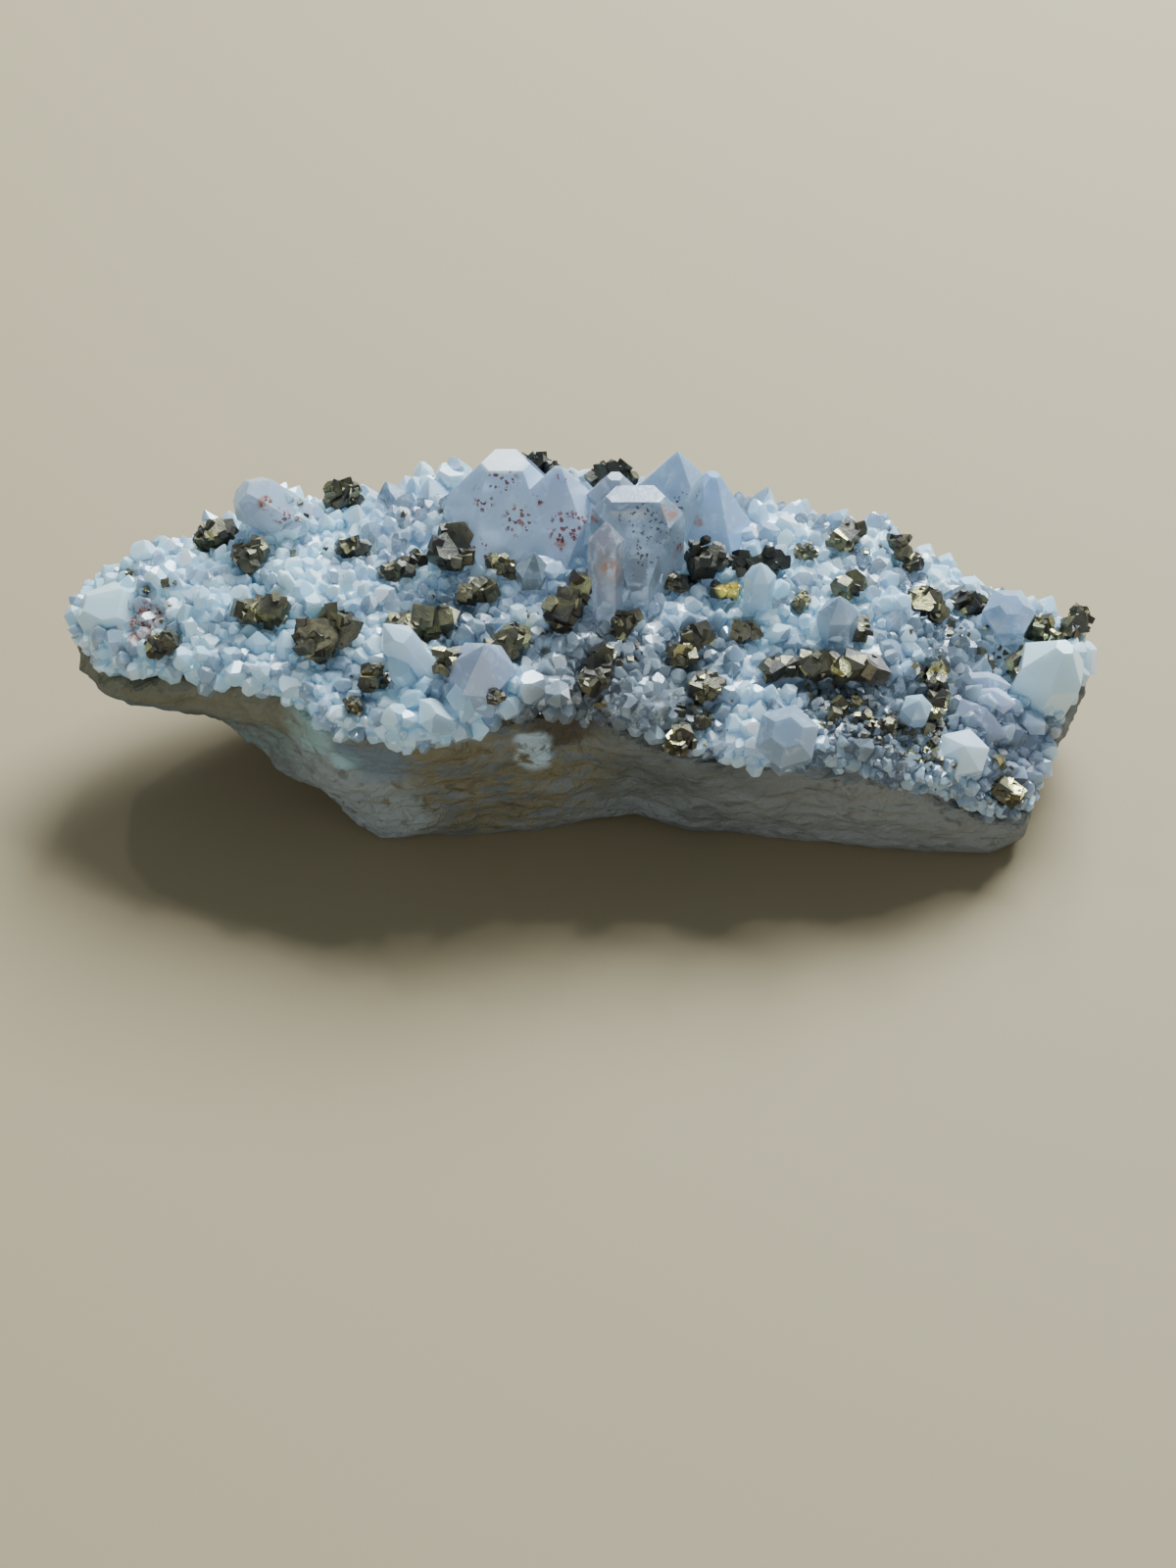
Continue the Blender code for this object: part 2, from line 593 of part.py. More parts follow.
def make_crust(rock):
    """The druse: its crystals joined to the crust, and the rock and the pyrite cut clear of it."""
    sections = [crust_section(x) for x in CRUST_STATIONS]
    crust = link("quartz_crust", loft("crust", sections, 0.8))
    crystals = helpers("crystals")
    taken = []
    for number, (foot, axis, spin, sides, tips, cut) in enumerate(LARGE_POINTS, 1):
        faces = quartz_faces(spin, sides, tips, cut)
        plant_crystal(f"large_point_{number}", foot, axis, faces, crystals)
        taken.append((Vector(foot), sum(sides) / 6))
    for _, (x, climb, _, length, width, _, _) in clump_rows():
        taken.append((crust_point(x, climb), 0.25 * (length + width) + 0.8))
    plant_small_crystals(taken, crystals)
    combine(crust, "UNION", crystals)

    cutters = helpers("cutters")
    add_helper("rock_cutter", grown(rock.data, GAP), cutters)
    for name, row in clump_rows():
        grains = helpers(f"{name}_room")
        grow_clump(name, row, ROOM, grains)
        add_helper(f"{name}_cutter", hull_mesh(grains), cutters)
    combine(crust, "DIFFERENCE", cutters)
    keep_largest_body(crust)
    simplify(crust, CRUST_TRIANGLES)
    unfold(crust)
    return crust


def make_clump(name, row):
    """One pyrite clump, its grains joined in one body."""
    grains = helpers(f"{name}_grains")
    grow_clump(name, row, 0.0, grains)
    first = grains.objects[0]
    mesh = first.data.copy()
    mesh.transform(first.matrix_world)
    clump = link(name, mesh)
    bpy.data.objects.remove(first)
    combine(clump, "UNION", grains)
    keep_largest_body(clump)
    simplify(clump, CLUMP_TRIANGLES)
    return clump


def main():
    clear_scene()
    rock = link("matrix_rock", rock_mesh())
    rock.data.materials.append(material("matrix_rock", (0.30, 0.28, 0.23), 0.85))
    crust = make_crust(rock)
    crust.data.materials.append(material("milky_quartz", (0.74, 0.80, 0.86), 0.25, 0.0, 0.3))
    pyrite = material("pyrite", (0.36, 0.28, 0.13), 0.35, 1.0)
    clumps = [make_clump(name, row) for name, row in clump_rows()]
    for clump in clumps:
        clump.data.materials.append(pyrite)

    solids = [rock, crust, *clumps]
    corners = [solid.matrix_world @ vert.co for solid in solids for vert in solid.data.vertices]
    lows = [min(corner[axis] for corner in corners) for axis in range(3)]
    highs = [max(corner[axis] for corner in corners) for axis in range(2)]
    shift = Vector((-(lows[0] + highs[0]) / 2, -(lows[1] + highs[1]) / 2, -lows[2]))
    for solid in solids:
        solid.data.transform(Matrix.Translation(shift))


main()
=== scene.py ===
"""Dresses the quartz and pyrite cluster: a rough rock, a druse of fine crystals and sparkling pyrite.

Lengths in the tables are in millimetres; MM turns them into metres. X runs along the cluster, Y from
the side that faces the viewer to the back, and Z up.
"""

import json
import math
import random

import bpy
from mathutils import Euler, Matrix, Vector
from mathutils.bvhtree import BVHTree
from mathutils.kdtree import KDTree

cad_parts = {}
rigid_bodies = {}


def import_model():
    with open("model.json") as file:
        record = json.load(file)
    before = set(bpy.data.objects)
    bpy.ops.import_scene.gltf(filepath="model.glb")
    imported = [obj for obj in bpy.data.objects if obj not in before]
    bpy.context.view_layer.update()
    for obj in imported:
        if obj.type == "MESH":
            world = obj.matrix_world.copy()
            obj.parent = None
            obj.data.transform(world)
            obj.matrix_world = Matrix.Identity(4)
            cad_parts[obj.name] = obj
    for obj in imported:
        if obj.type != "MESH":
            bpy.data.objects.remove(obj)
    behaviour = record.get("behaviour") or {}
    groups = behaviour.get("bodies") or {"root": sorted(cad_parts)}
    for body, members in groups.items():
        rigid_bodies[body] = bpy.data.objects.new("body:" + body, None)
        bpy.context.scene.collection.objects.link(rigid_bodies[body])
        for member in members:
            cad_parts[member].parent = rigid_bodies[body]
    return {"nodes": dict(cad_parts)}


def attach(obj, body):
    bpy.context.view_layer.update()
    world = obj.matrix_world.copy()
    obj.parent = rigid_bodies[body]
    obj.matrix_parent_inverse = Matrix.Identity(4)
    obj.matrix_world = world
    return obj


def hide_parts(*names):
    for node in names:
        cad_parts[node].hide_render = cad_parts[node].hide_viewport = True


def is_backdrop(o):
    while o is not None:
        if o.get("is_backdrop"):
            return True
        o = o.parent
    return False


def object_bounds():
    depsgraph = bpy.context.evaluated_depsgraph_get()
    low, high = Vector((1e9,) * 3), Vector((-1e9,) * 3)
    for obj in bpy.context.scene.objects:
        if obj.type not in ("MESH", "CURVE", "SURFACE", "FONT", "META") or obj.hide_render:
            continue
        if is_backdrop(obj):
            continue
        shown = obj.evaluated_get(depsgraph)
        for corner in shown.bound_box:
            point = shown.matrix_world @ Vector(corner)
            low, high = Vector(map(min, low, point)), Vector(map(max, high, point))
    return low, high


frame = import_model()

CAD_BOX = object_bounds()
MM = 0.001
NODES = frame["nodes"]
PYRITES = sorted(name for name in NODES if name.startswith("pyrite"))

# The tip faces of quartz lean this far from its long axis
TIP_LEAN = math.radians(51.8)

# How far the part's source moved everything to stand over the origin, in mm
SHIFT = Vector((0.0, 0.7333, 0.0))

# The large quartz points, as in the part's source: foot, axis, spin in degrees, how far the six
# sides stand from the axis, how high the six tip faces would meet it, and where the tip is cut off
LARGE_POINTS = {
    "great": (
        (-7.6, 3.5, 24.9), (0, 0, 1), 0,
        (8, 7.2, 4.8, 5, 4.4, 5.8), (9, 9.8, 9.1, 9.2, 9.1, 9.6), 6.9,
    ),
    "shoulder": (
        (-2.3, 2.1, 22.2), (0, 0, 1), 0, (6.5, 3.4, 3.1, 4, 6, 8), (9.9,) * 4 + (10.5, 12.5), None,
    ),
    "slim": ((2.0, -7.0, 23.3), (0, 0.2, 1), 0, (1.35,) + (1.4,) * 5, (7.7,) + (8.0,) * 5, None),
    "grey": (
        (4.8, -0.9, 23.2), (0, 0, 1), 0, (6, 4, 4, 4, 3.6, 3.6), (9.3, 11, 10.6, 9.6, 10.6, 11), 7.8,
    ),
    "tall": ((8.9, 4.3, 23.5), (0, 0, 1), 0, (6, 2.1, 2.3, 4, 4, 4), (8.8,) * 6, None),
    "flat": ((11.0, 5.9, 21.2), (0.22, 0.1, 1), 0, (6, 5.4, 4.6, 4, 4, 4), (7.7,) * 6, 7.0),
    "left": ((-30.0, 3.8, 25.4), (-0.75, -0.1, 0.7), 10, (2.3,) * 6, (5.6,) * 6, 4.2),
    "crest_glint": ((-13.2, 9.0, 24.9), (0.1, 0, 1), 20, (1.4,) * 6, (3.4,) * 6, 2.0),
    "white_prism": (
        (-15.6, -14.0, 20.8), (-0.55, 0.15, 0.8), -10,
        (1.1, 1.6, 1.6, 1.5, 1.5, 1.5), (5.4,) * 6, None,
    ),
    "pale": ((-9.6, -15.9, 20.8), (0.1, -0.2, 0.95), 0, (3, 2.6, 2.6, 3, 3, 3), (5.2,) * 6, None),
    "fan": ((44.6, -5.9, 11.2), (0.25, -0.15, 0.95), 20, (3.2, 2.8, 2.4, 3, 3, 3), (7.4,) * 6, 6.4),
    "six_sided": ((41.6, 0.0, 15.3), (0, -0.45, 0.85), 0, (2.2,) * 6, (4.6,) * 6, 3.4),
    "lying": ((18.2, -12.0, 17.4), (-0.87, -0.44, -0.21), 0, (0.9,) * 6, (5.5,) * 6, None),
    "round_lump": ((18.9, -18.6, 15.8), (-0.05, -0.6, 0.8), 15, (2.6,) * 6, (4.6,) * 6, 3.0),
    "jagged": (
        (35.8, -16.4, 11.5), (-0.05, -0.5, 0.8), 10, (1.9,) + (2.2,) * 5, (4.0,) * 6, None,
    ),
    "table_back": ((38.6, -8.2, 13.4), (0.9, -0.1, 0.15), 20, (0.8, 1.6, 1.6) * 2, (2.6,) * 6, None),
    "table_mid": ((39.2, -10.3, 13.2), (0.8, -0.4, 0.3), 0, (0.8, 1.4, 1.4) * 2, (2.4,) * 6, None),
    "table_front": ((37.9, -12.8, 12.3), (0.8, -0.3, -0.1), 0, (1.2, 2, 2) * 2, (2.6,) * 6, None),
    "bright_small": ((31.1, -14.4, 14.6), (0.05, -0.4, 0.9), 10, (1.2,) * 6, (4.2,) * 6, None),
    "white_small": ((16.7, -4.3, 21.6), (0, -0.1, 1), 0, (1.2,) * 6, (4.2,) * 6, None),
    "grey_small": ((24.1, -7.4, 20.0), (0, -0.1, 1), 0, (1.6,) * 6, (4.2,) * 6, None),
    "end_block": (
        (-44.6, -3.0, 17.2), (-0.85, -0.05, 0.45), 0, (2.6, 3.4, 3.2, 3, 3, 3.4), (6.2,) * 6, 4.6,
    ),
    "behind": ((2.9, 1.5, 24.0), (0, 0, 1), 0, (3, 2.4, 2.2) * 2, (8.2,) * 6, 7.4),
    "at_the_foot": ((-5.2, -4.6, 22.6), (0.1, 0, 1), 0, (1.5,) * 6, (4.4,) * 6, None),
}

# How deep a large point's root goes below its foot, and how far each of its faces stands out past
# the plain solid's, in mm
ROOT = 2.5
PROUD = 0.1

# Nothing grows on a large point from this high above its foot, nor this close to its faces, in mm
BARE_FROM = 0.8
BARE_AROUND = 0.25

# The druse's base: the size of its faces, the rounds that smooth it and how far it moves in, in mm
BASE_SIZE = 0.8
BASE_ROUNDS = 5
BASE_IN = 0.5

# The small crystals: how many shapes there are, how many places are tried, and the share of their
# width that they keep free around them
SMALL_SHAPES = 18
PLACES_TRIED = 30000
FREE_SHARE = 0.64

# How close a small crystal may stand to the rock and to the pyrite, in mm
FROM_ROCK = 0.4
FROM_PYRITE = 0.35

# A crystal is no wider than this beside the rock or the pyrite, and than this much more for each mm
# further away
WIDTH_BESIDE = 0.8
WIDTH_GAIN = 0.9

# Places are sorted into cells this wide, and the way the druse faces is taken over this reach, in mm
CELL = 2.0
FACING_REACH = 3.0

# How many shapes of pyrite grain there are
GRAIN_SHAPES = 14

# The rock's faces are this wide, in mm
ROCK_SIZE = 0.5

# The large points' colours, with how clear each is as the fourth number
LARGE_TINTS = {
    "great": (0.53, 0.67, 0.86, 0.2), "shoulder": (0.53, 0.63, 0.82, 0.2),
    "slim": (0.47, 0.42, 0.46, 0.7), "grey": (0.34, 0.40, 0.49, 0.5),
    "tall": (0.46, 0.61, 0.78, 0.3), "flat": (0.31, 0.50, 0.78, 0.3),
    "left": (0.54, 0.62, 0.74, 0.35), "crest_glint": (0.66, 0.84, 0.92, 0.2),
    "white_prism": (0.64, 0.80, 0.95, 0.1), "pale": (0.50, 0.58, 0.76, 0.35),
    "fan": (0.74, 0.94, 1.0, 0.05), "six_sided": (0.34, 0.48, 0.70, 0.35),
    "lying": (0.42, 0.46, 0.58, 0.5), "round_lump": (0.38, 0.48, 0.60, 0.4),
    "jagged": (0.74, 0.88, 1.0, 0.1), "table_back": (0.48, 0.54, 0.70, 0.3),
    "table_mid": (0.54, 0.60, 0.76, 0.2), "table_front": (0.36, 0.38, 0.50, 0.45),
    "bright_small": (0.50, 0.66, 0.80, 0.2), "white_small": (0.56, 0.76, 0.92, 0.15),
    "grey_small": (0.36, 0.46, 0.56, 0.45), "end_block": (0.70, 0.92, 1.0, 0.1),
    "behind": (0.42, 0.47, 0.56, 0.4), "at_the_foot": (0.22, 0.28, 0.29, 0.5),
}


# Selecting and shaping


def select_only(*objs):
    bpy.ops.object.select_all(action="DESELECT")
    for obj in objs:
        obj.select_set(True)
    bpy.context.view_layer.objects.active = objs[0]


def newest(name):
    """The primitive that was just added, under its own name."""
    made = bpy.context.object
    made.name = name
    made.data.name = name
    return made


def cut_flat(obj, faces):
    """Cuts a solid down to flat faces, each given by a place on it and the way it faces."""
    select_only(obj)
    bpy.ops.object.mode_set(mode="EDIT")
    for place, facing in faces:
        bpy.ops.mesh.select_all(action="SELECT")
        bpy.ops.mesh.bisect(
            plane_co=place, plane_no=facing, use_fill=True, clear_outer=True, threshold=1e-7,
        )
    bpy.ops.mesh.select_all(action="SELECT")
    bpy.ops.mesh.remove_doubles(threshold=1e-7)
    bpy.ops.mesh.normals_make_consistent(inside=False)
    bpy.ops.object.mode_set(mode="OBJECT")


def merged_copy(node, name):
    """A copy of a CAD node, its loose triangles joined."""
    made = bpy.data.objects.new(name, node.data.copy())
    bpy.context.scene.collection.objects.link(made)
    made.data.materials.clear()
    select_only(made)
    bpy.ops.object.mode_set(mode="EDIT")
    bpy.ops.mesh.select_all(action="SELECT")
    bpy.ops.mesh.remove_doubles(threshold=2e-7)
    bpy.ops.object.mode_set(mode="OBJECT")
    return made


def upright(foot, axis):
    """The turn and place that stand a shape's Z axis along a direction, its Y axis close to Y."""
    up = Vector(axis).normalized()
    back = (Vector((0, 1, 0)) - up * up.y).normalized()
    turn = Matrix((back.cross(up), back, up)).transposed()
    return Matrix.Translation(Vector(foot)) @ turn.to_4x4()


def even_out(obj, size, rounds, out=0.0):
    """Gives a solid faces of one size, rounds its edges and moves it out, in mm."""
    even = obj.modifiers.new("even", "REMESH")
    even.mode = "VOXEL"
    even.voxel_size = size * MM
    soft = obj.modifiers.new("soft", "SMOOTH")
    soft.factor = 0.5
    soft.iterations = rounds
    if out:
        moved = obj.modifiers.new("moved", "DISPLACE")
        moved.strength = out * MM
        moved.mid_level = 0.0
    select_only(obj)
    for modifier in [made.name for made in obj.modifiers]:
        bpy.ops.object.modifier_apply(modifier=modifier)


def put_in(collection, obj):
    """Moves an object into a collection of shapes that only get joined to others."""
    for holder in list(obj.users_collection):
        holder.objects.unlink(obj)
    collection.objects.link(obj)


def stock(name):
    made = bpy.data.collections.new(name)
    bpy.context.scene.collection.children.link(made)
    return made


def discard(collection):
    for obj in list(collection.objects):
        bpy.data.objects.remove(obj)
    bpy.data.collections.remove(collection)


# Node trees, for shapes and for finishes


class Wire:
    """One output of a node; sums and products of wires add the nodes that work them out."""

    def __init__(self, tree, socket):
        self.tree = tree
        self.socket = socket

    def out(self, name):
        return Wire(self.tree, self.socket.node.outputs[name])

    def maths(self, operation, *values):
        return self.tree.node("ShaderNodeMath", {"operation": operation}, dict(enumerate(values)))

    def __add__(self, other):
        return self.maths("ADD", self, other)

    def __radd__(self, other):
        return self.maths("ADD", other, self)

    def __sub__(self, other):
        return self.maths("SUBTRACT", self, other)

    def __rsub__(self, other):
        return self.maths("SUBTRACT", other, self)

    def __mul__(self, other):
        return self.maths("MULTIPLY", self, other)

    def __rmul__(self, other):
        return self.maths("MULTIPLY", other, self)

    def __pow__(self, other):
        return self.maths("POWER", self, other)

    def at_most(self, other):
        return self.maths("MINIMUM", self, other)

    def step(self, low, high):
        """0 where this is under low, 1 where it is over high, and soft between."""
        return self.tree.node(
            "ShaderNodeMapRange", {"interpolation_type": "SMOOTHSTEP"},
            {"Value": self, "From Min": low, "From Max": high},
        )


class Tree:
    """A node tree that is filled by one method."""

    def __init__(self, tree):
        self.tree = tree

    def node(self, kind, settings=None, values=None):
        """Adds a node with its settings, then the values or wires of its sockets."""
        made = self.tree.nodes.new(kind)
        for name, setting in (settings or {}).items():
            if name == "stops":
                self.set_stops(made.color_ramp, setting)
            elif name == "steps":
                made.color_ramp.interpolation = "CONSTANT"
            else:
                setattr(made, name, setting)
        for name, value in (values or {}).items():
            for one in value if isinstance(value, list) else [value]:
                if isinstance(one, Wire):
                    self.tree.links.new(one.socket, made.inputs[name])
                else:
                    made.inputs[name].default_value = one
        shown = [socket for socket in made.outputs if socket.enabled]
        return Wire(self, shown[0]) if shown else None

    @staticmethod
    def set_stops(ramp, stops):
        while len(ramp.elements) < len(stops):
            ramp.elements.new(1.0)
        for element, (position, colour) in zip(ramp.elements, stops):
            element.position = position
            element.color = colour

    def place(self):
        """The place on the piece, in millimetres."""
        where = self.node("ShaderNodeTexCoord").out("Object")
        return self.scaled(where, (1000, 1000, 1000))

    def scaled(self, vector, by):
        return self.node("ShaderNodeVectorMath", {"operation": "MULTIPLY"}, {0: vector, 1: by})

    def number(self, name):
        """A number that is kept on the piece's faces."""
        return self.node("ShaderNodeAttribute", {"attribute_name": name}).out("Fac")

    def parts(self, vector):
        split = self.node("ShaderNodeSeparateXYZ", None, {0: vector})
        return split, split.out("Y"), split.out("Z")

    def noise(self, vector, scale, detail=3.0, roughness=0.55, distortion=0.0):
        return self.node("ShaderNodeTexNoise", None, {
            "Vector": vector, "Scale": scale, "Detail": detail, "Roughness": roughness,
            "Distortion": distortion,
        })

    def cells(self, vector, scale, feature="F1", randomness=1.0):
        return self.node("ShaderNodeTexVoronoi", {"feature": feature}, {
            "Vector": vector, "Scale": scale, "Randomness": randomness,
        })

    def blend(self, share, start, end):
        """A colour between two colours."""
        mix = self.tree.nodes.new("ShaderNodeMix")
        mix.data_type = "RGBA"
        for index, value in ((0, share), (6, start), (7, end)):
            if isinstance(value, Wire):
                self.tree.links.new(value.socket, mix.inputs[index])
            else:
                mix.inputs[index].default_value = value
        return Wire(self, mix.outputs[2])

    def near(self, vector, centre, radius):
        """1 near a place, falling to 0 at a radius in mm."""
        away = self.node(
            "ShaderNodeVectorMath", {"operation": "DISTANCE"}, {0: vector, 1: centre},
        )
        return away.out("Value").step(radius, 0.5 * radius)

    def near_any(self, vector, places):
        """1 near any of several places, each a middle and a radius in mm."""
        total = 0
        for centre, radius in places:
            total = self.near(vector, centre, radius) + total
        return total.at_most(1)


def rgb(red, green, blue):
    return (red, green, blue, 1.0)


def finish_tree(name):
    """A new material's tree, its shader and its output."""
    made = bpy.data.materials.new(name)
    made.use_nodes = True
    nodes = made.node_tree.nodes
    return made, Tree(made.node_tree), nodes["Principled BSDF"], nodes["Material Output"]


def feed(tree, shader, values):
    """Sets or links a shader's sockets."""
    for name, value in values.items():
        if isinstance(value, Wire):
            tree.tree.links.new(value.socket, shader.inputs[name])
        else:
            shader.inputs[name].default_value = value


def bump(tree, height, strength, distance):
    """A Bump node's normal."""
    return tree.node("ShaderNodeBump", None, {
        "Height": height, "Strength": strength, "Distance": distance,
    })


# Growing small crystals on a solid


def crystal_stock(name, count, seed):
    """A stock of small six-sided points, one unit wide, their roots one unit below the origin."""
    chance = random.Random(seed)
    made = stock(name)
    for number in range(count):
        bpy.ops.mesh.primitive_cylinder_add(vertices=6, radius=0.58, depth=3.2, location=(0, 0, 0))
        point = newest(f"{name}_{number:02d}")
        faces = []
        top = chance.uniform(0.7, 1.2)
        for side in range(6):
            turn = math.radians(60 * side + 30)
            across = Vector((math.cos(turn), math.sin(turn), 0))
            facing = across * math.sin(TIP_LEAN) + Vector((0, 0, math.cos(TIP_LEAN)))
            back = chance.uniform(0, 0.12) if side % 2 else chance.uniform(0.05, 0.3)
            faces.append((Vector((0, 0, top - back)), facing))
            faces.append((across * chance.uniform(0.36, 0.5), across))
        faces.append((Vector((0, 0, -1)), Vector((0, 0, -1))))
        if chance.random() < 0.6:
            lean = Vector((chance.uniform(-0.4, 0.4), chance.uniform(-0.4, 0.4), 1))
            faces.append((Vector((0, 0, top - chance.uniform(0.22, 0.45))), lean))
        cut_flat(point, faces)
        put_in(made, point)
    return made


def grain_stock(name, count, seed):
    """A stock of small pyrite cubes and wedges, one unit wide, with corners gone."""
    chance = random.Random(seed)
    made = stock(name)
    for number in range(count):
        bpy.ops.mesh.primitive_cube_add(size=1, location=(0, 0, 0))
        grain = newest(f"{name}_{number:02d}")
        faces = []
        for axis in ((1, 0, 0), (0, 1, 0), (0, 0, 1)):
            for sign in (-1, 1):
                way = Vector(axis) * sign
                lean = Vector([chance.uniform(-0.12, 0.12) for _ in range(3)])
                faces.append((way * chance.uniform(0.3, 0.48), way + lean))
        for _ in range(chance.choice((1, 2, 3, 4))):
            corner = Vector([chance.choice((-1, 1)) * chance.uniform(0.6, 1) for _ in range(3)])
            corner.normalize()
            faces.append((corner * chance.uniform(0.42, 0.56), corner))
        cut_flat(grain, faces)
        put_in(made, grain)
    return made


def tree_of(obj):
    """A search tree of a solid's surface."""
    mesh = obj.data
    mesh.calc_loop_triangles()
    corners = [vert.co for vert in mesh.vertices]
    return BVHTree.FromPolygons(corners, [tuple(t.vertices) for t in mesh.loop_triangles])


def surface_places(obj, count, chance):
    """Random places spread evenly over a solid's surface, each with the way it faces."""
    mesh = obj.data
    mesh.calc_loop_triangles()
    triangles = list(mesh.loop_triangles)
    picked = chance.choices(triangles, weights=[t.area for t in triangles], k=count)
    for triangle in picked:
        a, b, c = [mesh.vertices[i].co for i in triangle.vertices]
        u, v = chance.random(), chance.random()
        if u + v > 1:
            u, v = 1 - u, 1 - v
        yield a + (b - a) * u + (c - a) * v, triangle.normal.copy()


def keep_number(tree, geometry, name, value):
    """Keeps a number on every face of a shape, under a name."""
    return tree.node(
        "GeometryNodeStoreNamedAttribute", {"data_type": "FLOAT", "domain": "FACE"},
        {"Geometry": geometry, "Name": name, "Value": value},
    )


def facet_chance(tree):
    """A random number that is the same over a flat face, from the way the face looks."""
    facing = tree.node("GeometryNodeInputNormal")
    steady = tree.node("ShaderNodeVectorMath", {"operation": "SNAP"}, {0: facing, 1: (0.07,) * 3})
    return tree.node("ShaderNodeTexWhiteNoise", {"noise_dimensions": "3D"}, {"Vector": steady})


def grow(obj, sources, seats, wholes=None):
    """Joins a crystal from a stock at each seat to the solid, in one closed body.

    A seat is a place, a turn, a size by axis, the number of the crystal and its tone. The shapes
    of a second stock are joined to the solid as they are.
    """
    points = bpy.data.meshes.new("seats")
    points.from_pydata([seat[0] for seat in seats], [], [])
    for name, kind in (("turn", "FLOAT_VECTOR"), ("size", "FLOAT_VECTOR"), ("pick", "INT"),
                       ("tone", "FLOAT")):
        points.attributes.new(name, kind, "POINT")
    for number, (_, turn, size, pick, tone) in enumerate(seats):
        points.attributes["turn"].data[number].vector = turn
        points.attributes["size"].data[number].vector = size
        points.attributes["pick"].data[number].value = pick
        points.attributes["tone"].data[number].value = tone
    holder = bpy.data.objects.new("seats", points)
    bpy.context.scene.collection.objects.link(holder)

    group = bpy.data.node_groups.new("grow", "GeometryNodeTree")
    group.interface.new_socket("Geometry", in_out="INPUT", socket_type="NodeSocketGeometry")
    group.interface.new_socket("Geometry", in_out="OUTPUT", socket_type="NodeSocketGeometry")
    tree = Tree(group)
    base = tree.node("NodeGroupInput")
    stood = tree.node("GeometryNodeObjectInfo", None, {"Object": holder}).out("Geometry")

    def read(name, kind):
        return tree.node("GeometryNodeInputNamedAttribute", {"data_type": kind}, {"Name": name})

    crystals = tree.node("GeometryNodeCollectionInfo", None, {
        "Collection": sources, "Separate Children": True, "Reset Children": True,
    })
    turn = tree.node("FunctionNodeEulerToRotation", None, {0: read("turn", "FLOAT_VECTOR")})
    grown = tree.node("GeometryNodeInstanceOnPoints", None, {
        "Points": stood, "Instance": crystals, "Pick Instance": True,
        "Instance Index": read("pick", "INT"), "Rotation": turn,
        "Scale": read("size", "FLOAT_VECTOR"),
    })
    parts = [base, grown]
    if wholes:
        parts.append(tree.node("GeometryNodeCollectionInfo", None, {
            "Collection": wholes, "Separate Children": True, "Reset Children": False,
        }))
    joined = tree.node(
        "GeometryNodeMeshBoolean", {"operation": "UNION", "solver": "MANIFOLD"}, {1: parts},
    )
    nearest = tree.node("GeometryNodeSampleNearest", {"domain": "POINT"}, {"Geometry": stood})
    tone = tree.node("GeometryNodeSampleIndex", {"data_type": "FLOAT", "domain": "POINT"}, {
        "Geometry": stood, "Value": read("tone", "FLOAT"), "Index": nearest,
    })
    stored = keep_number(tree, joined, "tone", tone)
    tree.node("NodeGroupOutput", None, {0: keep_number(tree, stored, "facet", facet_chance(tree))})
    modifier = obj.modifiers.new("grow", "NODES")
    modifier.node_group = group
    select_only(obj)
    bpy.ops.object.modifier_apply(modifier="grow")
    bpy.data.objects.remove(holder)


# The quartz


def large_faces(spin, sides, tips, cut, proud):
    """The flat faces of a large point about its foot: the way each looks and its distance."""
    faces = [(Vector((0, 0, -1)), ROOT)]
    if cut is not None:
        faces.append((Vector((0, 0, 1)), cut + proud))
    for number, (side, tip) in enumerate(zip(sides, tips)):
        turn = math.radians(spin + 60 * number)
        across = Vector((math.sin(turn), -math.cos(turn), 0))
        leaning = across * math.sin(TIP_LEAN) + Vector((0, 0, math.cos(TIP_LEAN)))
        faces.append((across, side + proud))
        faces.append((leaning, tip * math.cos(TIP_LEAN) + proud))
    return faces


def large_point(number, name):
    """One large quartz point, a hair larger than the plain solid that it takes the place of."""
    foot, axis, *shape = LARGE_POINTS[name]
    bpy.ops.mesh.primitive_cylinder_add(vertices=6, radius=0.02, depth=0.05, location=(0, 0, 0))
    point = newest(name)
    faces = [(way * far * MM, way) for way, far in large_faces(*shape, PROUD)]
    cut_flat(point, faces)
    point.data.transform(upright((Vector(foot) + SHIFT) * MM, axis))
    mark = point.data.attributes.new("large", "FLOAT", "FACE")
    mark.data.foreach_set("value", [number] * len(point.data.polygons))
    return point


def on_large_point(place):
    """Whether a place is on a large point, above its foot."""
    for foot, axis, *shape in LARGE_POINTS.values():
        local = upright(Vector(foot) + SHIFT, axis).inverted() @ (place / MM)
        if local.z > BARE_FROM and all(
            local.dot(way) < far + BARE_AROUND for way, far in large_faces(*shape, PROUD)
        ):
            return True
    return False


def outward(finder, facings, place):
    """The way that the druse faces around a place."""
    total = Vector((0, 0, 0))
    for _, number, _ in finder.find_range(place, FACING_REACH * MM):
        total += facings[number]
    return total.normalized() if total.length > 0 else Vector((0, 0, 1))


def wanted_width(place, chance):
    """How wide the small crystals are at a place, in mm."""
    x, y, _ = place / MM
    if x < -20:
        low, high = 1.3, 2.9
    elif x < 2 and y < -9:
        low, high = 1.8, 4.2
    elif 21 < x < 39 and y < -11.5:
        low, high = 0.9, 2.2
    elif y > 10:
        low, high = 1.8, 3.4
    else:
        low, high = 1.4, 3.3
    return low + (high - low) * chance.random() ** 1.6


def in_box(place):
    """Whether a place is inside the plain solids' box, or just outside it."""
    low, high = CAD_BOX
    return all(low[i] - 0.5 * MM < place[i] < high[i] + 0.5 * MM for i in range(3))


def narrowed(width, distance):
    """A crystal's width, made less close to the rock or the pyrite."""
    return min(width, WIDTH_BESIDE + WIDTH_GAIN * distance)


